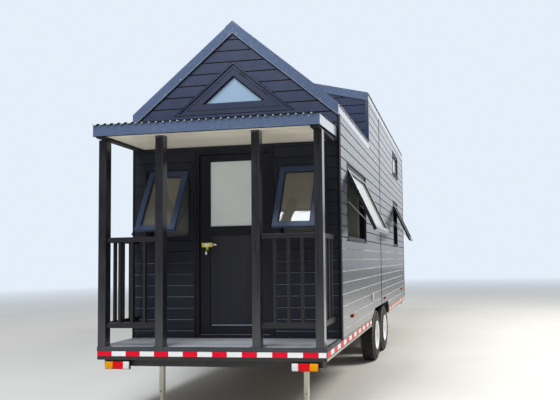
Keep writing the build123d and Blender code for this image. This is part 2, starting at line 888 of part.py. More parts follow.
def window_sash(width, height):
    """The opening sash and its pane, swung out about the top edge."""
    sash_width = width - 2 * frame_bar - 2 * sash_gap
    sash_height = height - 2 * frame_bar - sash_gap
    place = Pos(0, 0, height - frame_bar - sash_hang) * Rot(-sash_angle, 0, 0)
    ring = upright_ring(sash_width, sash_height, sash_bar, sash_depth, -sash_height)
    half = sash_width / 2 - sash_bar
    pane = block((-half, half), (glass_setback, glass_setback + glass_thickness),
                 (sash_bar - sash_height, -sash_bar))
    return place * ring, place * pane


def window_stays(width, height):
    """The two bars that hold the sash out, one by each jamb."""
    sash_height = height - 2 * frame_bar - sash_gap
    top = height - frame_bar - sash_hang
    swing = radians(sash_angle)

    def on_sash(along):
        """A point in (y, z) on the back of the sash, below its top edge."""
        return (sash_depth * cos(swing) - along * sin(swing),
                top - sash_depth * sin(swing) - along * cos(swing))

    along = sash_height * stay_on_sash
    level = height * stay_on_frame
    outline = [on_sash(along), on_sash(along + stay_width), (frame_depth / 2 + stay_width, level),
               (frame_depth / 2 + stay_width, level + stay_width)]
    outer = width / 2 - frame_bar - sash_hang
    return both_sides(prism_along_x(outline, (outer - stay_thickness, outer)))


def fixed_window(width, height):
    """A closed window: its frame ring and its pane."""
    half = width / 2 - fixed_bar
    pane = block((-half, half), (glass_setback, glass_setback + glass_thickness),
                 (fixed_bar, height - fixed_bar))
    return upright_ring(width, height, fixed_bar, frame_depth), pane


def gable_window():
    """The triangular window: its frame ring and its pane."""
    lift = gable_frame_bar / cos(radians(roof_pitch))
    low = gable_window_sill + gable_frame_bar
    high = gable_window_apex - lift
    ring = prism_along_y(triangle(gable_window_apex, gable_window_sill), (0, frame_depth))
    ring = ring - prism_along_y(triangle(high, low), (-1, frame_depth + 1))
    pane = prism_along_y(triangle(high, low), (glass_setback, glass_setback + glass_thickness))
    place = Pos(0, wall_front, 0)
    return place * ring, place * pane


def side_places(centre, sill):
    """Where a window sits in the left wall and in the right wall."""
    y = deck_front + centre
    return {"left": Pos(-half_width, y, sill) * Rot(0, 0, -90),
            "right": Pos(half_width, y, sill) * Rot(0, 0, 90)}


def windows():
    """All windows, as lists of solids by node name."""
    nodes = {"window_frames_front": [], "window_frames_left": [], "window_frames_right": [],
             "window_sashes": [], "window_stays": [], "window_glass": []}
    opening = [("front", Pos(-front_window_centre, wall_front, front_window_sill),
                front_window_width, front_window_height),
               ("front", Pos(front_window_centre, wall_front, front_window_sill),
                front_window_width, front_window_height)]
    for wall, place in side_places(long_window_centre, long_window_sill).items():
        opening.append((wall, place, long_window_width, long_window_height))
    for wall, place in side_places(short_window_centre, short_window_sill).items():
        opening.append((wall, place, short_window_width, short_window_height))
    for wall, place, width, height in opening:
        sash, pane = window_sash(width, height)
        nodes["window_frames_" + wall].append(place * upright_ring(width, height, frame_bar, frame_depth))
        nodes["window_sashes"].append(place * sash)
        nodes["window_glass"].append(place * pane)
        nodes["window_stays"] += [place * stay for stay in window_stays(width, height)]
    for wall, place in side_places(loft_window_centre, loft_window_sill).items():
        ring, pane = fixed_window(loft_window_width, loft_window_height)
        nodes["window_frames_" + wall].append(place * ring)
        nodes["window_glass"].append(place * pane)
    ring, pane = gable_window()
    nodes["window_frames_front"].append(ring)
    nodes["window_glass"].append(pane)
    return nodes


def house_nodes():
    """Every node of the model, as one solid or a list of solids."""
    nodes = {
        "perimeter_rails": perimeter_rails(),
        "main_beams": main_beams(),
        "crossmembers": crossmembers(),
        "drawbar": drawbar(),
        "coupler": coupler(),
        "axles": axles(),
        "leaf_springs": leaf_springs(),
        "jack_tubes": jack_tubes(),
        "tail_lights": tail_lights(),
        "floor": floor(),
        "porch_deck": porch_deck(),
        "wheel_wells": wheel_wells(),
        "front_gable": front_gable(),
        "end_wall": end_wall(),
        "dormer_cheeks": dormer_cheeks(),
        "ridge_cap": ridge_cap(),
        "rake_boards": rake_boards(),
        "eave_fascias": eave_fascias(),
        "dormer_rakes": dormer_rakes(),
        "porch_roof": porch_roof(),
        "porch_ceiling": porch_ceiling(),
        "porch_fascia": porch_fascia(),
        "porch_posts": porch_posts(),
        "door_frame": door_frame(),
        "door_leaf": door_leaf(),
        "door_glass": door_glass(),
        "door_handle": door_handle(),
        "door_lock": door_lock(),
    }
    pairs = {"front_wall": front_panel(), "side_wall_front": side_wall_front(),
             "side_wall_rear": side_wall_rear(), "main_roof": main_roof(),
             "dormer_roof": dormer_roof()}
    for name, shape in pairs.items():
        right, left = both_sides(shape)
        nodes[name + "_right"] = right
        nodes[name + "_left"] = left
    posts = post_centres()
    half = post_size / 2
    nodes["side_railing_left"] = side_railing(posts[0])
    nodes["side_railing_right"] = side_railing(posts[-1])
    nodes["front_railing_left"] = front_railing(posts[0] + half, posts[1] - half)
    nodes["front_railing_right"] = front_railing(posts[2] + half, posts[3] - half)
    for end, place in zip(("front", "back"), axle_places):
        for name, side in (("left", -1), ("right", 1)):
            nodes[f"tyre_{end}_{name}"] = tyre(place, side)
            nodes[f"rim_{end}_{name}"] = rim(place, side)
    for name, (x, y) in jack_places().items():
        nodes["jack_leg_" + name] = jack_leg(x, y)
    nodes.update(windows())
    return nodes


def main():
    """Write one STEP file for each node."""
    os.makedirs("parts", exist_ok=True)
    for name, shape in house_nodes().items():
        solids = shape if isinstance(shape, list) else [shape]
        whole = Compound(children=solids) if len(solids) > 1 else solids[0]
        export_step(whole, f"parts/{name}.step")


main()
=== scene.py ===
"""A tiny house on wheels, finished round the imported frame."""

import logging
import math
from collections.abc import Callable, Iterator, Sequence
from contextlib import contextmanager
from dataclasses import dataclass
from enum import Enum
from functools import lru_cache

import bmesh
import bpy
from mathutils import Matrix, Vector


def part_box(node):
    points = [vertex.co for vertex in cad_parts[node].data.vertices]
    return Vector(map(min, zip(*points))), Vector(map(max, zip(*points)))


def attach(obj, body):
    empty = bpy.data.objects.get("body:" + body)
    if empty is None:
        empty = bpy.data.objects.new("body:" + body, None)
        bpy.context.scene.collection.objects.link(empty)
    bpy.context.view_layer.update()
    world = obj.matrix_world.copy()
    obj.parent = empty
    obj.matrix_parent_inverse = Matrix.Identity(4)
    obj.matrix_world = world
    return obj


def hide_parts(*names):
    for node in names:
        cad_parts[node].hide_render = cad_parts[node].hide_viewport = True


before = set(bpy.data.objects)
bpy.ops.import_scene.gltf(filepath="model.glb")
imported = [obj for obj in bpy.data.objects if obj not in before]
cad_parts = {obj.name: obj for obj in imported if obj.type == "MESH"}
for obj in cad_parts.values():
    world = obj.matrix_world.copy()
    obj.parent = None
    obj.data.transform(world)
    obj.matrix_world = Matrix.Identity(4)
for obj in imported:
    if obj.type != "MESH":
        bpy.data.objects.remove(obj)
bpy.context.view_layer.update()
log = logging.getLogger("tiny_house")

Piece = bpy.types.Object
Span = tuple[float, float]
Colour = tuple[float, float, float]
Point = tuple[float, float, float]
Test = Callable[[Vector, Vector], bool]


class Facing(Enum):
    """The side that a wall looks to, as (x, y)."""

    FRONT = (0, -1)
    BACK = (0, 1)
    LEFT = (-1, 0)
    RIGHT = (1, 0)


class Grain(Enum):
    """The way that a material's grain runs, as how far the pattern is squeezed in X, Y and Z."""

    ALONG_X = (0.06, 1.0, 1.0)
    ALONG_Y = (1.0, 0.06, 1.0)
    ALONG_Z = (1.0, 1.0, 0.06)
    EVEN = (1.0, 1.0, 1.0)


# Modelling


def deselect() -> None:
    """Leave edit mode and select nothing."""
    if bpy.context.mode != "OBJECT":
        bpy.ops.object.mode_set(mode="OBJECT")
    bpy.ops.object.select_all(action="DESELECT")


def only(piece: Piece) -> Piece:
    """Select one piece and make it active.

    Args:
        piece: The piece to select.

    Returns:
        The same piece.
    """
    deselect()
    piece.select_set(True)
    bpy.context.view_layer.objects.active = piece
    return piece


@contextmanager
def editing(piece: Piece, mode: str = "FACE") -> Iterator[None]:
    """Edit one piece with nothing selected at the start.

    Args:
        piece: The piece to edit.
        mode: What is picked: VERT, EDGE or FACE.

    Returns:
        A context in edit mode; at its end the piece is back in object mode.
    """
    only(piece)
    bpy.ops.object.mode_set(mode="EDIT")
    bpy.ops.mesh.select_mode(type=mode)
    bpy.ops.mesh.select_all(action="DESELECT")
    yield
    bpy.ops.object.mode_set(mode="OBJECT")


def pick(piece: Piece, mode: str, test: Test) -> None:
    """Select what passes a test, in edit mode.

    Args:
        piece: The piece in edit mode.
        mode: What is tested: VERT, EDGE or FACE.
        test: Takes a middle and a normal, or for an edge its direction.
    """
    mesh = bmesh.from_edit_mesh(piece.data)
    if mode == "FACE":
        for face in mesh.faces:
            if test(face.calc_center_median(), face.normal):
                face.select_set(True)
    elif mode == "EDGE":
        for edge in mesh.edges:
            start, stop = (vertex.co for vertex in edge.verts)
            if test((start + stop) / 2, (stop - start).normalized()):
                edge.select_set(True)
    else:
        for vertex in mesh.verts:
            if test(vertex.co, vertex.normal):
                vertex.select_set(True)
    mesh.select_flush_mode()
    bmesh.update_edit_mesh(piece.data)


def applied(name: str) -> Piece:
    """Name the new primitive and put its place in its mesh.

    Args:
        name: Its name.

    Returns:
        The primitive, with its origin at the frame's origin.
    """
    piece = bpy.context.active_object
    piece.name = name
    piece.data.name = name
    only(piece)
    bpy.ops.object.transform_apply(location=True, rotation=True, scale=True)
    return piece


def block(name: str, xs: Span, ys: Span, zs: Span) -> Piece:
    """Start a piece as a block between two values on each axis.

    Args:
        name: The piece's name.
        xs: Its ends in X, in either order.
        ys: Its ends in Y.
        zs: Its ends in Z.

    Returns:
        The block, with its origin at the frame's origin.
    """
    low = Vector((min(xs), min(ys), min(zs)))
    high = Vector((max(xs), max(ys), max(zs)))
    deselect()
    bpy.ops.mesh.primitive_cube_add(size=1, location=(low + high) / 2)
    bpy.context.active_object.scale = high - low
    return applied(name)


def bar(name: str, radius: float, start: Sequence[float], stop: Sequence[float], sides: int = 24) -> Piece:
    """Start a piece as a round bar between two points.

    Args:
        name: The piece's name.
        radius: The bar's radius.
        start: The middle of one end.
        stop: The middle of the other end.
        sides: How many sides the round has.

    Returns:
        The bar, with its origin at the frame's origin.
    """
    first, last = Vector(start), Vector(stop)
    axis = last - first
    deselect()
    bpy.ops.mesh.primitive_cylinder_add(vertices=sides, radius=radius, depth=axis.length,
                                        location=(first + last) / 2)
    piece = bpy.context.active_object
    piece.rotation_mode = "QUATERNION"
    piece.rotation_quaternion = axis.to_track_quat("Z", "Y")
    return applied(name)


def turned(name: str, profile: Sequence[Span], steps: int) -> Piece:
    """Turn a closed outline about the X axis.

    Args:
        name: The piece's name.
        profile: Points of (x, radius) round the outline.
        steps: How many steps the turn has.

    Returns:
        The closed round piece, centred on the origin.
    """
    deselect()
    bpy.ops.mesh.primitive_plane_add(size=0.001)
    piece = applied(name)
    with editing(piece, "VERT"):
        bpy.ops.mesh.select_all(action="SELECT")
        bpy.ops.mesh.merge(type="CENTER")
        x, radius = profile[0]
        bpy.ops.transform.translate(value=(x, 0, radius))
        for (x, radius), (next_x, next_radius) in zip(profile, profile[1:]):
            move = (next_x - x, 0, next_radius - radius)
            bpy.ops.mesh.extrude_vertices_move(TRANSFORM_OT_translate={"value": move})
        bpy.ops.mesh.select_all(action="SELECT")
        bpy.ops.mesh.spin(steps=steps, angle=math.tau, center=(0, 0, 0), axis=(1, 0, 0))
        bpy.ops.mesh.select_all(action="SELECT")
        bpy.ops.mesh.remove_doubles(threshold=0.00005)
    return face_out(piece)


def face_out(piece: Piece) -> Piece:
    """Turn all faces of a piece to its outside.

    Args:
        piece: The piece to turn.

    Returns:
        The same piece.
    """
    with editing(piece):
        bpy.ops.mesh.select_all(action="SELECT")
        bpy.ops.mesh.normals_make_consistent(inside=False)
    return piece


def modify(piece: Piece, kind: str, **settings: object) -> Piece:
    """Add a modifier to a piece and apply it.

    Args:
        piece: The piece to change.
        kind: The modifier's kind.
        **settings: The modifier's settings.

    Returns:
        The same piece.
    """
    only(piece)
    modifier = piece.modifiers.new(kind.title(), kind)
    for key, value in settings.items():
        setattr(modifier, key, value)
    bpy.ops.object.modifier_apply(modifier=modifier.name)
    return piece


def soften(piece: Piece, width: float, segments: int = 2) -> Piece:
    """Round all sharp edges of a piece."""
    return modify(piece, "BEVEL", width=width, segments=segments, limit_method="ANGLE",
                  angle_limit=math.radians(30))


def cut_out(piece: Piece, cutter: Piece) -> Piece:
    """Take a cutter's shape out of a piece, and remove the cutter.

    Args:
        piece: The piece to cut.
        cutter: What is taken out of it.

    Returns:
        The same piece.
    """
    modify(piece, "BOOLEAN", operation="DIFFERENCE", solver="EXACT", object=cutter)
    bpy.data.objects.remove(cutter, do_unlink=True)
    return piece


def cut_block(piece: Piece, xs: Span, ys: Span, zs: Span) -> Piece:
    """Take a block's shape out of a piece."""
    return cut_out(piece, block("cutter", xs, ys, zs))


def chamfer(piece: Piece, width: float, test: Test) -> None:
    """Slant the edges of a piece that pass a test.

    Args:
        piece: The piece to change.
        width: How far from each edge the slant starts.
        test: Takes an edge's middle and direction.
    """
    with editing(piece, "EDGE"):
        pick(piece, "EDGE", test)
        bpy.ops.mesh.bevel(offset=width, offset_type="OFFSET", segments=1, affect="EDGES")


def inset(piece: Piece, test: Test, width: float, depth: float, single: bool = False) -> None:
    """Inset the faces of a piece that pass a test, each on its own or all together.

    Args:
        piece: The piece to change.
        test: Takes a face's middle and normal.
        width: How wide the rim round the inset is.
        depth: How far the inset is raised.
        single: Whether each face is inset on its own.
    """
    with editing(piece):
        pick(piece, "FACE", test)
        bpy.ops.mesh.inset(thickness=width, depth=depth, use_individual=single)


def trim(piece: Piece, point: Point, outward: Point, close: bool = True) -> Piece:
    """Cut a piece off at a plane.

    Args:
        piece: The piece to cut.
        point: A point on the plane.
        outward: The plane's normal, towards what goes.
        close: Whether the cut is filled.

    Returns:
        The same piece.
    """
    with editing(piece):
        bpy.ops.mesh.select_all(action="SELECT")
        bpy.ops.mesh.bisect(plane_co=point, plane_no=outward, use_fill=close, clear_outer=True,
                            threshold=0.00001)
    return piece


def repeat(piece: Piece, count: int, step: Point, merge: bool = False) -> Piece:
    """Repeat a piece's mesh in a row."""
    return modify(piece, "ARRAY", count=count, use_relative_offset=False, use_constant_offset=True,
                  constant_offset_displace=step, use_merge_vertices=merge, merge_threshold=0.0001)


def seat(piece: Piece, place: Matrix) -> Piece:
    """Move a piece by a matrix and put its place in its mesh.

    Args:
        piece: The piece to move.
        place: The matrix.

    Returns:
        The same piece.
    """
    piece.matrix_world = place
    only(piece)
    bpy.ops.object.transform_apply(location=True, rotation=True, scale=True)
    return piece


def copied(piece: Piece, name: str, shift: Point = (0, 0, 0)) -> Piece:
    """Copy a piece with a mesh of its own, moved by a shift.

    Args:
        piece: The piece to copy.
        name: The copy's name.
        shift: How far it is moved.

    Returns:
        The copy.
    """
    twin = piece.copy()
    twin.data = piece.data.copy()
    twin.name = name
    twin.data.name = name
    bpy.context.scene.collection.objects.link(twin)
    return seat(twin, Matrix.Translation(shift))


def mirrored(piece: Piece, name: str) -> Piece:
    """Copy a piece to the other side of the house."""
    return face_out(seat(copied(piece, name), Matrix.Scale(-1, 4, (1, 0, 0))))


def joined(name: str, parts: Sequence[Piece]) -> Piece:
    """Join parts to one piece under a name.

    Args:
        name: The name of the whole.
        parts: The parts, which are used up.

    Returns:
        The joined piece.
    """
    deselect()
    for part in parts:
        part.select_set(True)
    bpy.context.view_layer.objects.active = parts[0]
    bpy.ops.object.join()
    piece = bpy.context.active_object
    piece.name = name
    piece.data.name = name
    return piece


def around(middle: float, reach: float) -> Span:
    """The span that reaches as far on both sides of a value."""
    return middle - reach, middle + reach


def grown(span: Span, width: float) -> Span:
    """A span with both ends moved out."""
    return span[0] - width, span[1] + width


def against(facing: Facing, plane: float, along: Span, out: Span, up: Span) -> tuple[Span, Span, Span]:
    """The spans in X, Y and Z of a block on a wall.

    Args:
        facing: The side that the wall looks to.
        plane: The wall's own X or Y.
        along: The block's ends along the wall.
        out: Its back and front, out from the wall.
        up: Its ends in Z.

    Returns:
        The spans in X, Y and Z.
    """
    sign = sum(facing.value)
    depth = (plane + sign * out[0], plane + sign * out[1])
    if facing in (Facing.LEFT, Facing.RIGHT):
        return depth, along, up
    return along, depth, up


def ring(name: str, facing: Facing, plane: float, along: Span, up: Span, width: float, out: Span) -> Piece:
    """A rectangular ring on a wall, outside an opening.

    Args:
        name: The piece's name.
        facing: The side that the wall looks to.
        plane: The wall's own X or Y.
        along: The opening's ends along the wall.
        up: The opening's ends in Z.
        width: How wide the ring's sides are; below 0 they lie inside the opening.
        out: The ring's back and front, out from the wall.

    Returns:
        The ring.
    """
    opening, moved = (along, up), (grown(along, width), grown(up, width))
    outer, inner = (moved, opening) if width > 0 else (opening, moved)
    piece = block(name, *against(facing, plane, outer[0], out, outer[1]))
    return cut_block(piece, *against(facing, plane, inner[0], grown(out, 0.01), inner[1]))


def screw_row(name: str, spots: Sequence[Point], outward: Point, radius: float = 0.005) -> Piece:
    """Washer-head screws, one on each spot.

    Args:
        name: The piece's name.
        spots: Where the screws sit on the surface.
        outward: The surface's normal.
        radius: The washer's radius.

    Returns:
        All the screws as one piece.
    """
    normal = Vector(outward).normalized()
    head = bar(name, radius, (0, 0, 0), normal * 0.0022, 10)
    inset(head, lambda middle, way: way.dot(normal) > 0.9, radius * 0.4, 0.0015)
    dress(head, SCREW)
    heads = [copied(head, f"{name}_{number}", spot) for number, spot in enumerate(spots)]
    bpy.data.objects.remove(head, do_unlink=True)
    return joined(name, heads)


# Finishes


class Graph:
    """The shader nodes of one new material or world."""

    def __init__(self, owner: bpy.types.Material | bpy.types.World) -> None:
        """Start with only a material's Principled shader, or a world's background.

        Args:
            owner: The new material or world.
        """
        self.owner = owner
        owner.use_nodes = True
        self.nodes = owner.node_tree.nodes
        self.links = owner.node_tree.links
        self.shader = self.nodes.get("Principled BSDF") or self.nodes["Background"]

    def add(self, kind: str, inputs: dict[object, object], **settings: object) -> bpy.types.Node:
        """Add a node.

        Args:
            kind: The node's type, after ShaderNode.
            inputs: Values or sockets by input name or number.
            **settings: The node's own settings.

        Returns:
            The new node.
        """
        node = self.nodes.new("ShaderNode" + kind)
        for key, value in settings.items():
            setattr(node, key, value)
        for key, value in inputs.items():
            if isinstance(value, bpy.types.NodeSocket):
                self.links.new(value, node.inputs[key])
            else:
                node.inputs[key].default_value = value
        return node

    def place(self, scale: Point = (1, 1, 1), shift: Point = (0, 0, 0)) -> bpy.types.NodeSocket:
        """Object coordinates, scaled and shifted."""
        source = self.add("TexCoord", {}).outputs["Object"]
        return self.add("Mapping", {"Vector": source, "Scale": scale, "Location": shift}).outputs[0]

    def noise(self, size: float, stretch: Point = (1, 1, 1), detail: float = 3) -> bpy.types.NodeSocket:
        """Cloudy noise whose spots are about size metres across."""
        return self.add("TexNoise", {"Vector": self.place(stretch), "Scale": 1 / size, "Detail": detail,
                                     "Roughness": 0.55}).outputs[0]

    def cloud(self, size: float, stretch: Point = (1, 1, 1), detail: float = 3,
              target: Span = (0.0, 1.0)) -> bpy.types.NodeSocket:
        """Cloudy noise whose middle tones are spread over a range."""
        return self.span(self.noise(size, stretch, detail), (0.3, 0.7), target)

    def span(self, value: object, source: Span, target: Span) -> bpy.types.NodeSocket:
        """Map a value from one range to another, held at its ends."""
        inputs = {0: value, 1: source[0], 2: source[1], 3: target[0], 4: target[1]}
        return self.add("MapRange", inputs).outputs[0]

    def maths(self, operation: str, first: object, second: object = 0.0) -> bpy.types.NodeSocket:
        """One sum of two values."""
        return self.add("Math", {0: first, 1: second}, operation=operation).outputs[0]

    def mixed(self, share: object, low: object, high: object) -> bpy.types.NodeSocket:
        """Mix two colours."""
        ends = [(*end, 1.0) if isinstance(end, tuple) else end for end in (low, high)]
        return self.add("Mix", {0: share, 6: ends[0], 7: ends[1]}, data_type="RGBA").outputs[2]

    def relief(self, height: object, depth: float, strength: float = 1.0) -> None:
        """Add a bump under what the shader's normal holds already.

        Args:
            height: The pattern that is raised.
            depth: How deep it is, in metres.
            strength: How strongly it shows.
        """
        inputs = {"Height": height, "Distance": depth, "Strength": strength}
        normal = self.shader.inputs["Normal"]
        if normal.links:
            inputs["Normal"] = normal.links[0].from_socket
        self.links.new(self.add("Bump", inputs).outputs[0], normal)

    def paint(self, colour: object, roughness: object, metallic: float = 0.0) -> None:
        """Give the shader its colour, roughness and metal.

        Args:
            colour: A colour or a socket.
            roughness: A value or a socket.
            metallic: How metallic it is.
        """
        for key, value in (("Base Color", colour), ("Roughness", roughness), ("Metallic", metallic)):
            if isinstance(value, bpy.types.NodeSocket):
                self.links.new(value, self.shader.inputs[key])
            else:
                self.shader.inputs[key].default_value = (*value, 1.0) if isinstance(value, tuple) else value

    def set(self, **values: float) -> None:
        """Set values of the shader, by its sockets' names with lines for blanks."""
        for key, value in values.items():
            self.shader.inputs[key.replace("_", " ")].default_value = value

    def dusty(self, colour: object, amount: float, low: float, high: float) -> object:
        """Pale road dust over a colour, from all at a low height to none at a high one.

        Args:
            colour: The clean colour.
            amount: How much dust lies at the low height.
            low: The low height.
            high: The high height.

        Returns:
            The dusty colour's socket.
        """
        if not amount:
            return colour
        height = self.add("SeparateXYZ", {0: self.place()}).outputs[2]
        cloud = self.span(self.noise(0.12, (1, 1, 1.6), 5), (0.35, 0.7), (0.35, 1.0))
        share = self.maths("MULTIPLY", self.span(height, (low, high), (amount, 0.0)), cloud)
        return self.mixed(share, colour, (0.36, 0.31, 0.25))


@dataclass(frozen=True)
class Finish:
    """A finish, whose material is made once."""

    name: str

    def mix(self, graph: Graph) -> None:
        """Set the nodes of this kind of finish."""
        raise NotImplementedError

    @lru_cache(maxsize=None)
    def build(self) -> bpy.types.Material:
        """Make the material, at the first call only.

        Returns:
            The material.
        """
        graph = Graph(bpy.data.materials.new(self.name))
        self.mix(graph)
        return graph.owner


@dataclass(frozen=True)
class Paint(Finish):
    """Satin paint or coated sheet, with a little drift in tone and an emboss."""

    colour: Colour
    roughness: float = 0.42
    drift: float = 0.16
    emboss: float = 0.0
    emboss_size: float = 0.012
    grain: Grain = Grain.EVEN
    dust: float = 0.0
    dust_top: float = 1.1
    gloss: float = 0.5
    coat: float = 0.0

    def mix(self, graph: Graph) -> None:
        """Set the material's nodes.

        Args:
            graph: The material's node tree.
        """
        deep = tuple(part * (1 - self.drift) for part in self.colour)
        light = tuple(min(1.0, part * (1 + self.drift) + 0.002) for part in self.colour)
        colour = graph.mixed(graph.cloud(0.35, self.grain.value, 4), deep, light)
        colour = graph.dusty(colour, self.dust, 0.1, self.dust_top)
        sheen = (self.roughness - 0.06, self.roughness + 0.08)
        graph.paint(colour, graph.cloud(0.05, self.grain.value, target=sheen))
        fine = graph.noise(self.emboss_size, self.grain.value, 2)
        graph.relief(fine, self.emboss or 0.00012, 0.8 if self.emboss else 0.35)
        graph.set(Specular_IOR_Level=self.gloss, Coat_Weight=self.coat, Coat_Roughness=0.12)


@dataclass(frozen=True)
class Timber(Finish):
    """Painted or clear-finished timber with its grain, and a tone of its own for each board."""

    deep: Colour
    light: Colour
    grain: Grain
    roughness: float = 0.55
    relief: float = 0.0006
    board_axis: int | None = None
    board_pitch: float = 1.0
    board_start: float = 0.0
    dust: float = 0.0
    coat: float = 0.0

    def mix(self, graph: Graph) -> None:
        """Set the material's nodes.

        Args:
            graph: The material's node tree.
        """
        stretch = self.grain.value
        streak = graph.noise(0.012, stretch, 6)
        share = graph.span(streak, (0.3, 0.72), (0.0, 1.0))
        if self.board_axis is not None:
            place = graph.add("SeparateXYZ", {0: graph.place()}).outputs[self.board_axis]
            number = graph.maths("DIVIDE", graph.maths("SUBTRACT", place, self.board_start), self.board_pitch)
            board = graph.add("TexWhiteNoise", {"W": graph.maths("FLOOR", number)}, noise_dimensions="1D")
            tone = graph.maths("MULTIPLY", board.outputs["Value"], 0.45)
            share = graph.maths("ADD", graph.maths("MULTIPLY", share, 0.55), tone)
        colour = graph.dusty(graph.mixed(share, self.deep, self.light), self.dust, 0.7, 0.95)
        rough = graph.span(streak, (0.3, 0.7), (self.roughness - 0.05, self.roughness + 0.12))
        graph.paint(colour, rough)
        graph.relief(graph.noise(0.004, stretch, 4), self.relief, 0.7)
        graph.set(Coat_Weight=self.coat, Coat_Roughness=0.15)


@dataclass(frozen=True)
class Steel(Finish):
    """Bare, galvanised or silver-painted metal."""

    colour: Colour
    roughness: float = 0.35
    spangle: float = 0.0
    metallic: float = 1.0
    dust: float = 0.0

    def mix(self, graph: Graph) -> None:
        """Set the material's nodes.

        Args:
            graph: The material's node tree.
        """
        cells = graph.add("TexVoronoi", {"Vector": graph.place(), "Scale": 90.0}).outputs["Color"]
        tone = graph.add("SeparateXYZ", {0: cells}).outputs[0]
        patch = graph.span(tone, (0, 1), (-self.spangle, self.spangle))
        share = graph.maths("ADD", graph.cloud(0.06, target=(0.9, 1.0)), patch)
        colour = graph.mixed(share, tuple(part * 0.4 for part in self.colour), self.colour)
        colour = graph.dusty(colour, self.dust, 0.0, 0.75)
        rough = graph.cloud(0.02, target=(self.roughness - 0.06, self.roughness + 0.1))
        graph.paint(colour, rough, self.metallic)
        graph.relief(graph.noise(0.003), 0.0001, 0.3)


@dataclass(frozen=True)
class Rubber(Finish):
    """Dark rubber, dusty where it meets the road."""

    colour: Colour = (0.017, 0.017, 0.018)
    dust: float = 0.0

    def mix(self, graph: Graph) -> None:
        """Set the material's nodes.

        Args:
            graph: The material's node tree.
        """
        cloud = graph.cloud(0.04)
        colour = graph.mixed(cloud, self.colour, tuple(part * 1.7 for part in self.colour))
        graph.paint(graph.dusty(colour, self.dust, 0.0, 0.9), graph.span(cloud, (0, 1), (0.62, 0.8)))
        graph.relief(graph.noise(0.002), 0.0003, 0.4)


@dataclass(frozen=True)
class Pane(Finish):
    """Glass that lets part of the room behind it through; its colour holds painted reflection or painted
    shade.
    """

    colour: Colour
    alpha: float
    roughness: float = 0.04

    def mix(self, graph: Graph) -> None:
        """Set the material's nodes.

        Args:
            graph: The material's node tree.
        """
        deep = tuple(part * 0.92 for part in self.colour)
        graph.paint(graph.mixed(graph.cloud(0.5), deep, self.colour), self.roughness)
        graph.set(Alpha=self.alpha, Specular_IOR_Level=0.9)
        graph.relief(graph.noise(0.25), 0.0004, 0.2)


@dataclass(frozen=True)
class Lens(Finish):
    """A ribbed plastic lens or a prismatic film."""

    colour: Colour
    rib: float = 0.004

    def mix(self, graph: Graph) -> None:
        """Set the material's nodes.

        Args:
            graph: The material's node tree.
        """
        cells = graph.add("TexVoronoi", {"Vector": graph.place(), "Scale": 1 / self.rib}).outputs["Distance"]
        share = graph.span(cells, (0.0, 0.7), (0.0, 1.0))
        graph.paint(graph.mixed(share, self.colour, tuple(part * 0.9 for part in self.colour)), 0.3)
        graph.set(Specular_IOR_Level=0.12)
        graph.relief(cells, 0.0006, 0.5)


SIDING = Paint("siding", (0.04, 0.051, 0.098), 0.45, 0.12, emboss=0.0006, emboss_size=0.02, gloss=0.3)
# The side walls' copy of the siding, darker and with a full coat so that they read as sunlit: painted light;
# its dust is real.
SUNLIT_SIDING = Paint("side_siding", (0.03, 0.036, 0.056), 0.3, 0.12, emboss=0.0008, emboss_size=0.02,
                    dust=0.1, coat=1.0)
# Darker copy of the siding for the wall under the porch roof: painted shade.
SHADED_SIDING = Paint("porch_siding", (0.018, 0.02, 0.031), 0.42, 0.12, emboss=0.0008, emboss_size=0.02,
                      gloss=0.25)
# Darker copy of the siding for the dormers' cheeks under the steep roof: painted shade.
SHADED_CHEEK_SIDING = Paint("dormer_siding", (0.028, 0.042, 0.088), 0.45, 0.12, emboss=0.0006, emboss_size=0.02,
                     gloss=0.25)
# Painted highlight for the boards' ledges below a level, where they catch the sky; the shaded copy is dimmer,
# for the porch wall.
PAINTED_LEDGE_HIGHLIGHT = Paint("ledge_dust", (0.5, 0.51, 0.52), 0.6, 0.1)
SHADED_PAINTED_LEDGE_HIGHLIGHT = Paint("shaded_ledge_dust", (0.12, 0.14, 0.18), 0.6, 0.1)
# Painted glint on the sheets' turned-down valleys at the eaves.
PAINTED_GLINT = Paint("cut_edge", (0.5, 0.51, 0.53), 0.4, 0.1)
TRIM = Paint("trim_sheet", (0.092, 0.13, 0.222), 0.25, 0.05, gloss=0.7)
# Light copy of the trim sheet for faces towards the sides: painted sheen of the sky along them.
PAINTED_SHEEN_TRIM = Paint("side_trim_sheet", (0.4, 0.45, 0.52), 0.2, 0.05, gloss=1.0, coat=1.0)
# Dark sheet for corner strips, joints and housings; also laid as painted shade under the porch fascia and in
# the side windows' reveals.
CORNER_AND_SHADE = Paint("corner_sheet", (0.009, 0.01, 0.015), 0.55, 0.15, gloss=0.1)
NOSING = Paint("nosing_sheet", (0.05, 0.056, 0.066), 0.45, 0.15, gloss=0.3)
EDGE = Paint("edge_strip", (0.2, 0.23, 0.29), 0.38, 0.1, dust=0.15)
DUSTY_LIP = Paint("dusty_lip", (0.5, 0.44, 0.36), 0.6, 0.25)
ROOFING = Paint("roof_sheet", (0.06, 0.07, 0.095), 0.38, 0.18)
# The lining's own colour, darkened so that the room inside reads dim: partly painted shade.
LINING = Paint("inner_lining", (0.26, 0.26, 0.22), 0.6, 0.05)
FRAME_METAL = Paint("window_metal", (0.017, 0.02, 0.032), 0.32, 0.08, gloss=0.3)
SASH_METAL = Paint("sash_metal", (0.046, 0.066, 0.128), 0.4, 0.08, gloss=0.2)
# Lighter copy of the window metal for the gable frame, out of the porch roof's shade: painted light.
GABLE_METAL = Paint("gable_metal", (0.04, 0.049, 0.09), 0.4, 0.08, gloss=0.3)
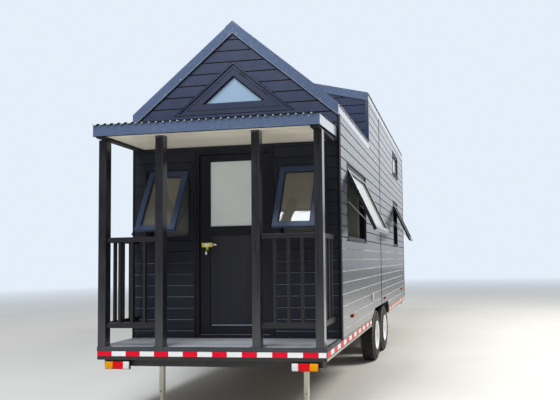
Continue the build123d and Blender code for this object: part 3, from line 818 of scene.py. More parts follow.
# Near-black copy of the sash paint for the side windows: painted shade, with a full coat for the sky's sheen.
SHADED_SIDE_SASH = Paint("side_sash_metal", (0.014, 0.016, 0.024), 0.22, 0.08, gloss=1.0, coat=1.0)
DOOR_PAINT = Paint("door_paint", (0.013, 0.013, 0.019), 0.42, 0.12, emboss=0.0005, emboss_size=0.01,
                   grain=Grain.ALONG_Z, gloss=0.25)
DOOR_GRAIN = Paint("door_panel_paint", (0.02, 0.02, 0.026), 0.42, 0.3, emboss=0.0014, emboss_size=0.014,
                   grain=Grain.ALONG_Z, gloss=0.25)
JACK_PAINT = Paint("jack_paint", (0.92, 0.87, 0.7), 0.5, 0.08)
# The front net is a lighter copy of the same net: painted light.
SCREEN_NET = Paint("screen_net", (0.075, 0.074, 0.066), 0.8, 0.1, gloss=0.1)
FRONT_NET = Paint("front_screen_net", (0.135, 0.135, 0.122), 0.8, 0.1, gloss=0.1)
CHASSIS = Paint("chassis_paint", (0.014, 0.013, 0.013), 0.45, 0.25, dust=0.25, dust_top=0.7)
POST_WOOD = Timber("post_timber", (0.007, 0.0065, 0.011), (0.025, 0.024, 0.031), Grain.ALONG_Z, 0.3,
                   coat=1.0)
# Light copy of the post timber for the outer right post's side face: painted sheen.
PAINTED_POST_SHEEN = Timber("post_side_timber", (0.13, 0.135, 0.15), (0.2, 0.205, 0.22), Grain.ALONG_Z, 0.3,
                    coat=1.0)
RAIL_WOOD = Timber("rail_timber", (0.006, 0.006, 0.008), (0.018, 0.017, 0.022), Grain.ALONG_X, 0.4)
SIDE_RAIL_WOOD = Timber("side_rail_timber", (0.006, 0.006, 0.008), (0.018, 0.017, 0.022), Grain.ALONG_Y, 0.4)
DECKING = Timber("deck_boards", (0.16, 0.17, 0.2), (0.36, 0.38, 0.42), Grain.ALONG_X, 0.6, 0.0012,
                 board_axis=1, board_pitch=0.1214, board_start=-4.33, dust=0.25)
CEILING = Timber("ceiling_boards", (0.8, 0.72, 0.58), (0.93, 0.87, 0.75), Grain.ALONG_X, 0.45, 0.0004,
                 board_axis=1, board_pitch=0.09175, board_start=-4.456)
FLOORING = Timber("floor_boards", (0.24, 0.17, 0.11), (0.45, 0.35, 0.25), Grain.ALONG_Y, 0.45, 0.0004,
                  board_axis=0, board_pitch=0.18)
GALVANISED = Steel("galvanised", (0.72, 0.71, 0.66), 0.42, 0.14, 0.75, dust=0.2)
WHEEL_SILVER = Paint("wheel_silver", (0.92, 0.95, 0.96), 0.3, 0.06, dust=0.06, gloss=0.7, coat=0.6)
STAINLESS = Steel("stainless", (0.78, 0.78, 0.77), 0.22)
SCREW = Steel("screw_zinc", (0.8, 0.8, 0.78), 0.3, 0.0, 0.9)
DARK_STEEL = Steel("dark_steel", (0.16, 0.16, 0.17), 0.4, 0.0, 0.8)
# Lighter copy of the stays' steel for the side windows: painted light.
LIT_STAY_STEEL = Steel("stay_steel", (0.56, 0.57, 0.6), 0.4, 0.0, 0.2)
TYRE = Rubber("tyre_rubber", (0.007, 0.007, 0.008), dust=0.08)
TYRE_DUST = Rubber("dusty_tyre_rubber", (0.085, 0.078, 0.068))
# Black rubber for the seals; also laid as painted shade in grooves, gaps, hollows and on the outer posts'
# tops.
GASKET_AND_SHADE = Rubber("gasket", (0.005, 0.005, 0.006))
# The panes' colours are painted light: sky-blue reflection in the gable, pale reflection in the sides and the
# door, a dark tone of shade under the porch.
GABLE_GLASS = Pane("gable_glass", (0.48, 0.65, 0.84), 0.7)
FRONT_GLASS = Pane("front_glass", (0.26, 0.245, 0.195), 0.6)
SIDE_GLASS = Pane("side_glass", (0.8, 0.83, 0.81), 0.74)
DOOR_GLASS = Pane("door_glass", (0.93, 0.98, 0.95), 0.95)
RED = Lens("red_lens", (0.78, 0.004, 0.01))
AMBER = Lens("amber_lens", (0.86, 0.34, 0.004))
MARKER = Lens("marker_lens", (0.8, 0.09, 0.012))
CLEAR = Lens("clear_lens", (0.8, 0.8, 0.76))
TAPE_RED = Lens("red_film", (0.88, 0.003, 0.03), 0.003)
TAPE_WHITE = Lens("white_film", (0.94, 0.94, 0.93), 0.003)
WHITE_PLASTIC = Paint("white_plastic", (0.78, 0.78, 0.74), 0.35, 0.04)
WHITE_FILM = Paint("pale_film", (0.8, 0.8, 0.76), 0.25, 0.1)
YELLOW_FILM = Paint("yellow_film", (0.72, 0.66, 0.04), 0.25, 0.15, emboss=0.0012, emboss_size=0.008)


def dress(piece: Piece, finish: Finish) -> Piece:
    """Give a whole piece one finish.

    Args:
        piece: The piece to dress.
        finish: Its finish.

    Returns:
        The same piece.
    """
    piece.data.materials.clear()
    piece.data.materials.append(finish.build())
    return piece


def dress_faces(piece: Piece, finish: Finish, test: Test) -> Piece:
    """Give the faces that pass a test another finish.

    Args:
        piece: The piece, which has a finish already.
        finish: The other finish.
        test: Takes a face's middle and normal.

    Returns:
        The same piece.
    """
    piece.data.materials.append(finish.build())
    number = len(piece.data.materials) - 1
    for face in piece.data.polygons:
        if test(face.center, face.normal):
            face.material_index = number
    return piece


def settle(piece: Piece, stands_for: Sequence[str] = (), body: str = "house",
           angle: float = 30.0) -> Piece:
    """Close a piece's making: turn its faces out, shade it and hand it to its body.

    Args:
        piece: The dressed piece.
        stands_for: The frame's nodes that it replaces.
        body: The body that it rides on.
        angle: The angle in degrees up to which its edges are smooth.

    Returns:
        The same piece.
    """
    face_out(piece)
    bpy.ops.object.shade_smooth_by_angle(angle=math.radians(angle))
    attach(piece, body)
    if stands_for:
        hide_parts(*stands_for)
    log.info("%s: %d faces on %s", piece.name, len(piece.data.polygons), body)
    return piece


def settle_pair(right: Piece, stands_for: Sequence[str] = (), angle: float = 30.0) -> None:
    """Settle a piece of the house's right side, and its mirror image on the left.

    Args:
        right: The dressed piece on the right, with the word right in its name.
        stands_for: The frame's nodes that it replaces, on the right.
        angle: The angle in degrees up to which its edges are smooth.
    """
    left = mirrored(right, right.name.replace("right", "left"))
    settle(right, stands_for, angle=angle)
    settle(left, [node.replace("right", "left") for node in stands_for], angle=angle)


def refine(node: str, finish: Finish, width: float = 0.003) -> Piece:
    """Give a node of the frame a finish and rounded edges, by modifiers that leave its mesh as it is.

    Args:
        node: The node's name.
        finish: Its finish.
        width: How wide its rounded edges are.

    Returns:
        The node's object.
    """
    piece = dress(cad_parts[node], finish)
    weld = piece.modifiers.new("Weld", "WELD")
    weld.merge_threshold = 0.00005
    edge = piece.modifiers.new("Bevel", "BEVEL")
    edge.width = width
    edge.segments = 2
    edge.limit_method = "ANGLE"
    edge.angle_limit = math.radians(40)
    even = piece.modifiers.new("Even", "WEIGHTED_NORMAL")
    even.keep_sharp = True
    log.info("%s: finished in place", node)
    return piece


# The house


@dataclass(frozen=True)
class Slope:
    """One pitch of roof, from the ridge down."""

    pitch: float
    thickness: float
    ridge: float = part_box("main_roof_right")[1].z

    @property
    def drop(self) -> float:
        """The roof's thickness, measured straight down."""
        return self.thickness / math.cos(self.pitch)

    @property
    def under(self) -> float:
        """Height at which the undersides of both slopes meet."""
        return self.ridge - self.drop

    @property
    def normal(self) -> Point:
        """The way out from the right slope."""
        return math.sin(self.pitch), 0, math.cos(self.pitch)

    @property
    def inwards(self) -> Point:
        """The way in from the right slope."""
        return -math.sin(self.pitch), 0, -math.cos(self.pitch)

    def line(self, x: float) -> float:
        """Height of the roof's top."""
        return self.ridge - math.tan(self.pitch) * abs(x)


@dataclass(frozen=True)
class Shell:
    """The main levels of the house, read from the frame."""

    half_width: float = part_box("floor")[1].x
    deck_front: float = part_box("porch_deck")[0].y
    deck_end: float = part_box("floor")[1].y
    wall_front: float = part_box("floor")[0].y
    dormer_front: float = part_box("dormer_roof_right")[0].y
    deck_top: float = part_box("floor")[1].z
    frame_apex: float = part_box("window_frames_front")[1].z
    frame_sill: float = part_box("window_frames_front")[1].z - 0.552
    gable_apex: float = 3.8245
    gable_sill: float = 3.226
    door_half: float = 0.45
    door_top: float = 2.815
    strip_foot: float = 0.7
    steep: Slope = Slope(math.radians(39.8), 0.105)
    low: Slope = Slope(math.radians(13.2), 0.1)
    fascia: float = 0.012

    @property
    def dormer_eave(self) -> float:
        """Height of the dormer roof's underside at its fascia."""
        return self.low.line(self.half_width + self.fascia) - self.low.drop


SHELL = Shell()


def under_slope(piece: Piece, slope: Slope, top: float) -> Piece:
    """Trim a piece along both slopes of a gable.

    Args:
        piece: The piece to trim.
        slope: The slope.
        top: The height at which both slopes meet.

    Returns:
        The same piece.
    """
    across, _, upward = slope.normal
    for side in (-1, 1):
        trim(piece, (0, 0, top), (side * across, 0, upward))
    return piece


def over_right_roof(piece: Piece) -> Piece:
    """Trim away what lies under the top of the steep roof's right slope."""
    return trim(piece, (0, 0, SHELL.steep.ridge), SHELL.steep.inwards)


@dataclass(frozen=True)
class WindowPlace:
    """One window: where it is, how large, and whether its sash is open."""

    name: str
    facing: Facing
    centre: float
    sill: float
    width: float
    height: float
    opens: bool = True

    @property
    def plane(self) -> float:
        """The X or Y of the window's wall."""
        return {Facing.FRONT: SHELL.wall_front, Facing.RIGHT: SHELL.half_width,
                Facing.LEFT: -SHELL.half_width}[self.facing]

    @property
    def along(self) -> Span:
        """The opening's ends along the wall."""
        return self.centre - self.width / 2, self.centre + self.width / 2

    @property
    def up(self) -> Span:
        """The opening's ends in Z."""
        return self.sill, self.sill + self.height

    @property
    def matrix(self) -> Matrix:
        """From the window's own frame, X across and Y inwards over its sill, to the house's.

        Returns:
            The matrix.
        """
        turns = {Facing.FRONT: 0.0, Facing.RIGHT: math.pi / 2, Facing.LEFT: -math.pi / 2}
        front = self.facing is Facing.FRONT
        x, y = (self.centre, self.plane) if front else (self.plane, self.centre)
        return Matrix.Translation((x, y, self.sill)) @ Matrix.Rotation(turns[self.facing], 4, "Z")


def window_places() -> list[WindowPlace]:
    """All rectangular windows of the house.

    Returns:
        The windows of the front, then those of each side.
    """
    places = [WindowPlace("front_left", Facing.FRONT, -0.775, 1.815, 0.54, 0.82),
              WindowPlace("front_right", Facing.FRONT, 0.775, 1.815, 0.54, 0.82)]
    for side, facing in (("left", Facing.LEFT), ("right", Facing.RIGHT)):
        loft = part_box("window_frames_" + side)[1].z - 0.435
        places += [WindowPlace("long_" + side, facing, SHELL.deck_front + 1.705, 1.805, 1.25, 0.885),
                   WindowPlace("short_" + side, facing, SHELL.deck_front + 6.045, 1.83, 0.63, 0.885),
                   WindowPlace("loft_" + side, facing, SHELL.deck_front + 6.175, loft, 0.85, 0.435, False)]
    return places


@dataclass(frozen=True)
class Siding:
    """Embossed boards in level courses on every outer wall."""

    pitch: float = 0.1262
    start: float = 0.683
    thickness: float = 0.009
    groove: float = 0.0055
    chamfer: float = 0.0045
    backing: float = 0.0008
    # Levels below which the boards' ledges get a painted highlight.
    front_highlight_below: float = 1.6
    side_highlight_below: float = 1.75
    bottom: float = 0.715
    porch_top: float = 2.867
    gable_bottom: float = 3.029
    over_all: float = 4.2
    gable_shift: float = -0.018
    trim_width: float = 0.022
    side_start: float = 0.07
    far_gap: float = 0.04
    arch: tuple[float, float, float, float, float] = (-1.6, 0.383, 0.3, 0.13, 0.83)

    def courses(self, name: str, facing: Facing, plane: float, along: Span, up: Span,
                shift: float = 0.0) -> Piece:
        """Boards over a rectangle of wall.

        Args:
            name: The piece's name.
            facing: The side that the wall looks to.
            plane: The wall's own X or Y.
            along: The boards' ends along the wall.
            up: The lowest and highest level.
            shift: How far the courses are shifted up.

        Returns:
            The boards, in one piece.
        """
        start = self.start + shift
        low = start + math.floor((up[0] - start) / self.pitch) * self.pitch
        count = math.ceil((up[1] - low) / self.pitch)
        ends = (low + self.groove / 2, low + self.pitch - self.groove / 2)
        piece = block(name, *against(facing, plane, along, (self.backing + 0.0003, self.thickness), ends))
        outward = Vector((*facing.value, 0))
        face = self.back_of(facing, plane) + self.thickness - 0.0001
        chamfer(piece, self.chamfer, lambda middle, way: middle.dot(outward) > face and abs(way.z) < 0.5)
        repeat(piece, count, (0, 0, self.pitch))
        trim(piece, (0, 0, up[0]), (0, 0, -1))
        trim(piece, (0, 0, up[1]), (0, 0, 1))
        split = self.highlight_below(facing)
        parts = [piece]
        for ends in ((up[0], min(split - 0.0002, up[1])), (max(split + 0.0002, up[0]), up[1])):
            if ends[0] < ends[1]:
                parts.append(block("backing", *against(facing, plane, along, (0.0002, self.backing), ends)))
        return joined(name, parts)

    def highlight_below(self, facing: Facing) -> float:
        """The level below which a wall's ledges get a painted highlight, and above which its grooves get
        painted shade.
        """
        return self.front_highlight_below if facing is Facing.FRONT else self.side_highlight_below

    def back_of(self, facing: Facing, plane: float) -> float:
        """How far a wall's plane is out from the middle of the house."""
        return abs(plane) * (1 if plane * sum(facing.value) > 0 else -1)

    def painted(self, piece: Piece, facing: Facing, plane: float, paint: Paint) -> Piece:
        """Paint boards, with painted shade in the grooves between them and a painted highlight on their lower
        ledges.

        Args:
            piece: The boards.
            facing: The side that the wall looks to.
            plane: The wall's own X or Y.
            paint: The boards' paint.

        Returns:
            The same piece.
        """
        level = self.highlight_below(facing)
        ledge, least = (SHADED_PAINTED_LEDGE_HIGHLIGHT, 0.3) if facing is Facing.FRONT else (PAINTED_LEDGE_HIGHLIGHT, -1.0)
        outward = Vector((*facing.value, 0))
        back = self.back_of(facing, plane) + self.backing + 0.0001
        dress(piece, paint)
        # Painted shade: the grooves' slanted faces above the level and the backing sheet behind the boards
        # are black.
        dress_faces(piece, GASKET_AND_SHADE, lambda middle, way: abs(way.z) > 0.3 and middle.z > level)
        dress_faces(piece, GASKET_AND_SHADE, lambda middle, way: middle.dot(outward) < back)
        # Painted highlight: below the level the slanted ledges take a light paint, and on the side walls the
        # backing too.
        return dress_faces(piece, ledge, lambda middle, way: middle.z < level and way.z > least
                           and (abs(way.z) > 0.3 or middle.dot(outward) < back))

    def leave_windows(self, piece: Piece, facing: Facing) -> Piece:
        """Cut the windows of one wall out of its boards, with room for their trim.

        Args:
            piece: The boards.
            facing: The side that the wall looks to.

        Returns:
            The same piece.
        """
        for place in window_places():
            if place.facing is facing:
                along, up = grown(place.along, self.trim_width), grown(place.up, self.trim_width)
                cut_block(piece, *against(facing, place.plane, along, (-0.05, 0.05), up))
        return piece

    def arch_cutter(self) -> Piece:
        """A block in the shape of the wheel arch.

        Returns:
            The block, over the arch of the right wall.
        """
        start, end, front_run, back_run, top = self.arch
        cutter = block("cutter", (1.1, 1.3), (start, end), (0.6, top))
        for place, run, way in ((start, front_run, -1), (end, back_run, 1)):
            slope = math.atan2(top - SHELL.deck_top, run)
            trim(cutter, (0, place, SHELL.deck_top), (0, way * math.sin(slope), math.cos(slope)))
        return cutter

    def front(self) -> None:
        """The front wall below the porch ceiling, and the gable over the porch roof."""
        wall, wide = SHELL.wall_front, (-SHELL.half_width, SHELL.half_width)
        through, beside = around(wall, 0.05), self.trim_width
        low = self.courses("siding_front", Facing.FRONT, wall, wide, (SHELL.deck_top, self.porch_top))
        self.leave_windows(low, Facing.FRONT)
        cut_block(low, around(0, SHELL.door_half + beside), through, (0.6, SHELL.door_top + beside))
        # The wall under the porch takes the darker siding copy, as painted shade.
        settle(self.painted(low, Facing.FRONT, wall, SHADED_SIDING))
        gable = self.courses("siding_gable", Facing.FRONT, wall, wide, (self.gable_bottom, self.over_all),
                             self.gable_shift)
        under_slope(gable, SHELL.steep, SHELL.steep.under)
        cut_out(gable, triangle("cutter", SHELL.gable_apex, SHELL.gable_sill, through))
        settle(self.painted(gable, Facing.FRONT, wall, SIDING))

    def sides(self) -> None:
        """Both side walls, from the corner trim to the far end."""
        edge = SHELL.half_width
        low_eave = SHELL.steep.line(edge + SHELL.fascia) - 0.11
        right = self.courses("siding_right", Facing.RIGHT, edge,
                             (SHELL.wall_front + self.side_start, SHELL.deck_end - self.far_gap),
                             (self.bottom, SHELL.dormer_eave))
        cut_block(right, around(edge, 0.1), (-5, SHELL.dormer_front), (low_eave, 5))
        self.leave_windows(right, Facing.RIGHT)
        cut_out(right, self.arch_cutter())
        # The side walls take the sunlit copy of the siding: painted light.
        settle_pair(self.painted(right, Facing.RIGHT, edge, SUNLIT_SIDING))

    def far_end(self) -> None:
        """The plain far wall."""
        reach = SHELL.half_width - self.far_gap
        piece = self.courses("siding_end", Facing.BACK, SHELL.deck_end, (-reach, reach),
                             (self.bottom, self.over_all))
        under_slope(piece, SHELL.low, SHELL.low.under)
        settle(self.painted(piece, Facing.BACK, SHELL.deck_end, SIDING))

    def cheeks(self) -> None:
        """The dormers' front walls, over the steep roof."""
        front = SHELL.dormer_front
        right = self.courses("siding_cheek_right", Facing.FRONT, front, (0.17, SHELL.half_width),
                             (3.2, self.over_all))
        over_right_roof(right)
        trim(right, (0, 0, SHELL.low.under), SHELL.low.normal)
        # The cheeks take the darker siding copy, as painted shade.
        settle_pair(self.painted(right, Facing.FRONT, front, SHADED_CHEEK_SIDING))

    def build(self) -> None:
        """Make all the siding."""
        self.front()
        self.sides()
        self.far_end()
        self.cheeks()
        walls = [name + side for name in ("front_wall", "side_wall_front", "side_wall_rear")
                 for side in ("_left", "_right")]
        for node in ("front_gable", "end_wall", "dormer_cheeks", *walls):
            dress(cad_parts[node], LINING)


def triangle(name: str, apex: float, sill: float, ys: Span) -> Piece:
    """A triangular block under slopes that run with the steep roof, between two heights."""
    half = (apex - sill) / math.tan(SHELL.steep.pitch)
    return under_slope(block(name, (-half, half), ys, (sill, apex)), SHELL.steep, apex)


@dataclass(frozen=True)
class Trims:
    """Corner strips, joints, edge strips and the frames round the openings."""

    width: float = 0.022
    out: float = 0.014
    fold: float = 0.0125
    front_reach: Span = (0.014, 0.07)
    dormer_reach: float = 0.03
    far_reach: float = 0.04
    joint_place: float = -0.562
    joint_width: float = 0.03
    base_level: Span = (0.7105, 0.7165)
    arch_level: Span = (0.83, 0.836)

    def folded(self, name: str, reach: float, ys: Span, wall: Span, up: Span) -> Piece:
        """A strip folded round a right-hand corner.

        Args:
            name: The piece's name.
            reach: How far it reaches in along the front or far wall.
            ys: Its ends in Y.
            wall: The ends in Y of the wall that it is folded round.
            up: Its ends in Z.

        Returns:
            The strip, with rounded edges.
        """
        edge = SHELL.half_width
        piece = block(name, (edge - reach, edge + self.fold), ys, up)
        return soften(cut_block(piece, (0, edge), wall, (0, 5)), 0.0015)

    def corners(self) -> None:
        """The strips at the house's corners and at the dormers' front corners."""
        edge, fold, foot = SHELL.half_width, self.fold, SHELL.strip_foot
        wall, dormer, end = SHELL.wall_front, SHELL.dormer_front, SHELL.deck_end
        low, high = SHELL.steep.line(edge), SHELL.dormer_eave
        in_front, along = self.front_reach
        front = self.folded("corner_front_right", in_front, (wall - fold, wall + along), (wall, wall + 1),
                            (foot, low - SHELL.steep.drop))
        settle_pair(dress(front, CORNER_AND_SHADE))
        near, far = self.dormer_reach, self.far_reach
        # The dormer corner strip takes the cheeks' darker siding copy: painted shade.
        for name, reach, ys, along_wall, bottom, finish in (
                ("dormer", near, (dormer - fold, dormer + near), (dormer, dormer + 1), low + 0.002,
                 SHADED_CHEEK_SIDING),
                ("far", far, (end - far, end + fold - 0.001), (0, end), foot, CORNER_AND_SHADE)):
            piece = dress(self.folded(f"corner_{name}_right", reach, ys, along_wall, (bottom, high)), finish)
            # Faces towards the sides take the sunlit copy of the siding: painted light.
            settle_pair(dress_faces(piece, SUNLIT_SIDING, lambda middle, way: way.x > 0.5))

    def joints(self) -> None:
        """The upright joint strip on each side wall, and the strip under the siding."""
        edge, siding = SHELL.half_width, Siding()
        joint = block("joint_right", (edge, edge + 0.012), around(self.joint_place, self.joint_width / 2),
                      (0.835, SHELL.dormer_eave))
        settle_pair(dress(soften(joint, 0.002), CORNER_AND_SHADE))
        start, end = SHELL.wall_front + siding.side_start, SHELL.deck_end - siding.far_gap
        runs = (((start, siding.arch[0]), self.base_level), ((siding.arch[1], end), self.base_level),
                ((-1.295, 0.248), self.arch_level))
        strips = [soften(block("strip", (edge, edge + self.fold), ys, up), 0.001) for ys, up in runs]
        settle_pair(dress(joined("base_strip_right", strips), EDGE))

    def openings(self) -> None:
        """The trim round every window and round the door."""
        for place in window_places():
            piece = ring("trim_" + place.name, place.facing, place.plane, place.along, place.up, self.width,
                         (0.0, self.out))
            settle(dress(soften(piece, 0.0025), FRAME_METAL))
        wall = SHELL.wall_front
        door = ring("trim_door", Facing.FRONT, wall, around(0, SHELL.door_half), (0.6, SHELL.door_top),
                    self.width, (0.0, self.out))
        trim(door, (0, 0, SHELL.deck_top + 0.001), (0, 0, -1))
        settle(dress(soften(door, 0.0025), DOOR_PAINT))
        inner = (SHELL.gable_apex - 0.007 / math.cos(SHELL.steep.pitch), SHELL.gable_sill + 0.007)
        through = (wall - 0.05, wall + 0.01)
        gable = triangle("trim_gable", *inner, (wall - 0.0104, wall))
        cut_out(gable, triangle("cutter", SHELL.frame_apex, SHELL.frame_sill, through))
        dress(soften(gable, 0.0012), SIDING)
        # Painted shadow: a black gap round the gable's trim.
        gap = triangle("gap_gable", SHELL.gable_apex, SHELL.gable_sill, (wall - 0.002, wall - 0.0001))
        cut_out(gap, triangle("cutter", *inner, through))
        settle(joined("trim_gable", [gable, dress(gap, GASKET_AND_SHADE)]))

    def build(self) -> None:
        """Make all the trims."""
        self.corners()
        self.joints()
        self.openings()


@dataclass(frozen=True)
class Roofs:
    """Corrugated sheets on lined slabs, the ridge cap and the folded fascias."""

    wave: float = 0.076
    rise: float = 0.0148
    gauge: float = 0.0012
    steps: int = 8
    lip: float = 0.022
    lift: float = 0.007
    ridge_gap: float = 0.03
    smooth: float = 50
    porch_waves: int = 31
    porch_fall: float = 0.039
    porch_reach: float = 0.114
    screw_step: float = 0.2
    channel: float = 0.016

    def sheet(self, name: str, width: float, length: float) -> Piece:
        """A corrugated sheet that lies flat.

        Args:
            name: The piece's name.
            width: Its width along Y, across the waves.
            length: Its length along X, which the waves run with.

        Returns:
            The sheet, with its crests at Z = 0 and one corner at the origin.
        """
        deselect()
        bpy.ops.mesh.primitive_grid_add(x_subdivisions=1, y_subdivisions=self.steps, size=1,
                                        location=(length / 2, self.wave / 2, 0))
        bpy.context.active_object.scale = (length, self.wave, 1)
        piece = applied(name)
        for number in range(1, self.steps):
            level = self.wave * number / self.steps
            fall = self.rise * (1 - math.cos(math.tau * number / self.steps)) / 2
            with editing(piece, "VERT"):
                pick(piece, "VERT", lambda spot, way: abs(spot.y - level) < 0.0005)
                bpy.ops.transform.translate(value=(0, 0, -fall))
        repeat(piece, math.ceil(width / self.wave), (0, self.wave, 0), True)
        trim(piece, (0, width, 0), (0, 1, 0), False)
        modify(piece, "SOLIDIFY", thickness=self.gauge, offset=-1)
        return dress(piece, ROOFING)

    def slab(self, name: str, ys: Span, slope: Slope) -> Piece:
        """The slab under a right-hand sheet, lined underneath.

        Args:
            name: The piece's name.
            ys: The roof's ends in Y.
            slope: Its slope.

        Returns:
            The slab.
        """
        top = slope.ridge - (self.rise + self.gauge) / math.cos(slope.pitch)
        piece = block(name, (0.0005, SHELL.half_width), ys, (2.5, slope.ridge))
        trim(piece, (0, 0, top), slope.normal)
        trim(piece, (0, 0, slope.under), slope.inwards)
        dress(piece, CORNER_AND_SHADE)
        return dress_faces(piece, LINING, lambda middle, way: way.z < -0.5)

    def side(self, name: str, ys: Span, slope: Slope, stands_for: str) -> None:
        """A roof slope on each side of the ridge.

        Args:
            name: The start of both pieces' names.
            ys: The roof's ends in Y.
            slope: Its slope.
            stands_for: The start of the names of the nodes that they replace.
        """
        back, (rise, _, run) = self.ridge_gap, slope.normal
        sheet = self.sheet(name + "_sheet", ys[1] - ys[0], (SHELL.half_width + self.lip) / run - back)
        start = Vector((run * back, ys[0], slope.ridge - rise * back + self.lift))
        seat(sheet, Matrix.Translation(start) @ Matrix.Rotation(slope.pitch, 4, "Y"))
        right = joined(name + "_right", [self.slab(name + "_slab", ys, slope), sheet])
        settle_pair(right, [stands_for + "_right"], self.smooth)

    def closures(self, name: str, ys: Span, slope: Slope) -> None:
        """Black plugs in a sheet's hollows at the eave as painted shade, and its turned-down valleys bright
        as painted glint.

        Args:
            name: The start of both pieces' names.
            ys: The roof's ends in Y.
            slope: Its slope.
        """
        reach = SHELL.half_width + self.lip
        crest = slope.line(reach) + self.lift
        plug = block("plug", (reach - 0.012, reach + 0.0022), around(0, 0.015),
                     (crest - 0.0155, crest - 0.0035))
        tab = block("tab", (reach - 0.003, reach + 0.0018), around(self.wave / 2, 0.014),
                    (crest - 0.023, crest - 0.0115))
        # The plugs are painted shade in the hollows; the tabs are painted glint.
        parts = [dress(soften(plug, 0.003, 2), GASKET_AND_SHADE), dress(soften(tab, 0.0008, 1), PAINTED_GLINT)]
        for part in parts:
            seat(part, Matrix.Translation((0, ys[0] + self.wave, 0)))
            repeat(part, math.floor((ys[1] - ys[0]) / self.wave) - 1, (0, self.wave, 0))
        settle_pair(joined(name + "_closures_right", parts))

    def porch_tabs(self, front: float, left: float, level: float) -> None:
        """The turned-down valleys at the porch sheet's front edge, bright as painted glint.

        Args:
            front: The Y of their front.
            left: The X of the sheet's left edge.
            level: The height of its crests at the front.
        """
        tab = block("porch_roof_tabs", (left + 0.014, left + 0.032), (front, front + 0.0012),
                    (level - 0.0195, level - 0.0115))
        soften(tab, 0.0004, 1)
        repeat(tab, self.porch_waves, (self.wave, 0, 0))
        settle(dress(tab, PAINTED_GLINT))

    def porch(self) -> None:
        """The porch roof's sheet, with its scalloped front edge."""
        low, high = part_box("porch_roof")
        fall = math.atan2(self.porch_fall, SHELL.wall_front - SHELL.deck_front + self.porch_reach)
        length = (high.y - low.y - 0.001) / math.cos(fall)
        sheet = self.sheet("porch_roof_sheet", high.x - low.x, length)
        level, drop = math.cos(fall), math.sin(fall)
        axes = Matrix(((0, 1, 0), (-level, 0, -drop), (-drop, 0, level)))
        top = high.z - 0.0003
        seat(sheet, Matrix.Translation((low.x, high.y - 0.0005, top)) @ axes.to_4x4())
        settle(sheet, ["porch_roof"], angle=self.smooth)
        self.porch_tabs(low.y + 0.0001, low.x, top - (high.y - low.y) * math.tan(fall))

    def screws(self) -> None:
        """Screw heads along the rakes, the eaves and the porch fascia."""
        across = [side * (0.045 + number * 0.1925) for side in (-1, 1) for number in range(7)]
        under = SHELL.steep.drop - 0.022
        spots = [(x, SHELL.wall_front - 0.02, SHELL.steep.line(x) - under) for x in across]
        settle(screw_row("screws_rake", spots, (0, -1, 0)))
        front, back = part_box("porch_fascia")
        spots = [(x, front.y, front.z + 0.086) for x in (-1.079, 1.079)]
        settle(screw_row("screws_porch_front", spots, (0, -1, 0)))
        plane = SHELL.half_width + SHELL.fascia
        steep, low = SHELL.steep.line(plane) - 0.035, SHELL.low.line(plane) - 0.03
        steps = [0.1 + number * self.screw_step for number in range(25)]
        eave = [(SHELL.wall_front + step, steep) for step in steps[:10]]
        eave += [(SHELL.dormer_front + step, low) for step in steps]
        for side, name in ((-1, "left"), (1, "right")):
            spots = [(side * back.x, front.y + 0.1 + number * 0.19, front.z + 0.097 + number * 0.01)
                     for number in range(4)]
            settle(screw_row("screws_porch_" + name, spots, (side, 0, 0)))
            spots = [(side * plane, *spot) for spot in eave]
            settle(screw_row("screws_eave_" + name, spots, (side, 0, 0)))

    def lips(self) -> None:
        """The thin folded lips along the lower edge of the rakes and of the porch fascia."""
        wall, top = SHELL.wall_front, SHELL.steep.under
        rake = self.sloping("rake_lip", -SHELL.half_width, (wall - 0.024, wall - 0.0145), SHELL.steep,
                            (top - 0.004, top + 0.006))
        settle(dress(rake, EDGE))
        self.channels()
        low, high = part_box("porch_fascia")
        strip = block("porch_fascia_lip", grown((low.x, high.x), 0.002), (low.y - 0.002, low.y + 0.03),
                      (low.z - 0.002, low.z + 0.006))
        # Painted shade on the lip's underside.
        dress_faces(dress(soften(strip, 0.0015), TRIM), CORNER_AND_SHADE, lambda middle, way: way.z < -0.5)
        settle(strip)

    def sloping(self, name: str, left: float, ys: Span, slope: Slope, levels: Span) -> Piece:
        """A strip that runs along the slopes of a gable.

        Args:
            name: The piece's name.
            left: Where it starts in X; it ends at the right wall.
            ys: Its ends in Y.
            slope: The slope.
            levels: The heights at which its lower and upper edges meet under the ridge.

        Returns:
            The strip.
        """
        piece = under_slope(block(name, (left, SHELL.half_width), ys, (3.0, slope.ridge)), slope, levels[1])
        inner = block("cutter", (-2, 2), grown(ys, 0.1), (2.5, slope.ridge))
        return cut_out(piece, under_slope(inner, slope, levels[0]))

    def channels(self) -> None:
        """The channels between the sloping boards and the siding under them, black as the boards' painted
        shadow.
        """
        for name, plane, slope in (("rake", SHELL.wall_front, SHELL.steep),
                                   ("dormer", SHELL.dormer_front, SHELL.low)):
            foot = slope.under - self.channel / math.cos(slope.pitch)
            piece = self.sloping(name + "_channel", 0, (plane - 0.0098, plane - 0.001), slope,
                                 (foot, slope.under))
            if name == "dormer":
                over_right_roof(piece)
            # Painted shadow under the sloping boards.
            dress(piece, GASKET_AND_SHADE)
            settle(mirrored(piece, name + "_channel_left"))
            settle(piece)

    def build(self) -> None:
        """Make all the roofs."""
        steep, low = (SHELL.wall_front, SHELL.dormer_front), (SHELL.dormer_front, SHELL.deck_end)
        self.side("steep_roof", steep, SHELL.steep, "main_roof")
        self.side("low_roof", low, SHELL.low, "dormer_roof")
        self.closures("steep_roof", steep, SHELL.steep)
        self.closures("low_roof", low, SHELL.low)
        self.porch()
        self.screws()
        self.lips()
        refine("ridge_cap", ROOFING, 0.002)
        for node in ("rake_boards", "eave_fascias", "dormer_rakes", "porch_fascia"):
            # Side faces take the light trim copy: painted sheen.
            dress_faces(refine(node, TRIM, 0.002), PAINTED_SHEEN_TRIM, lambda middle, way: abs(way.x) > 0.95)
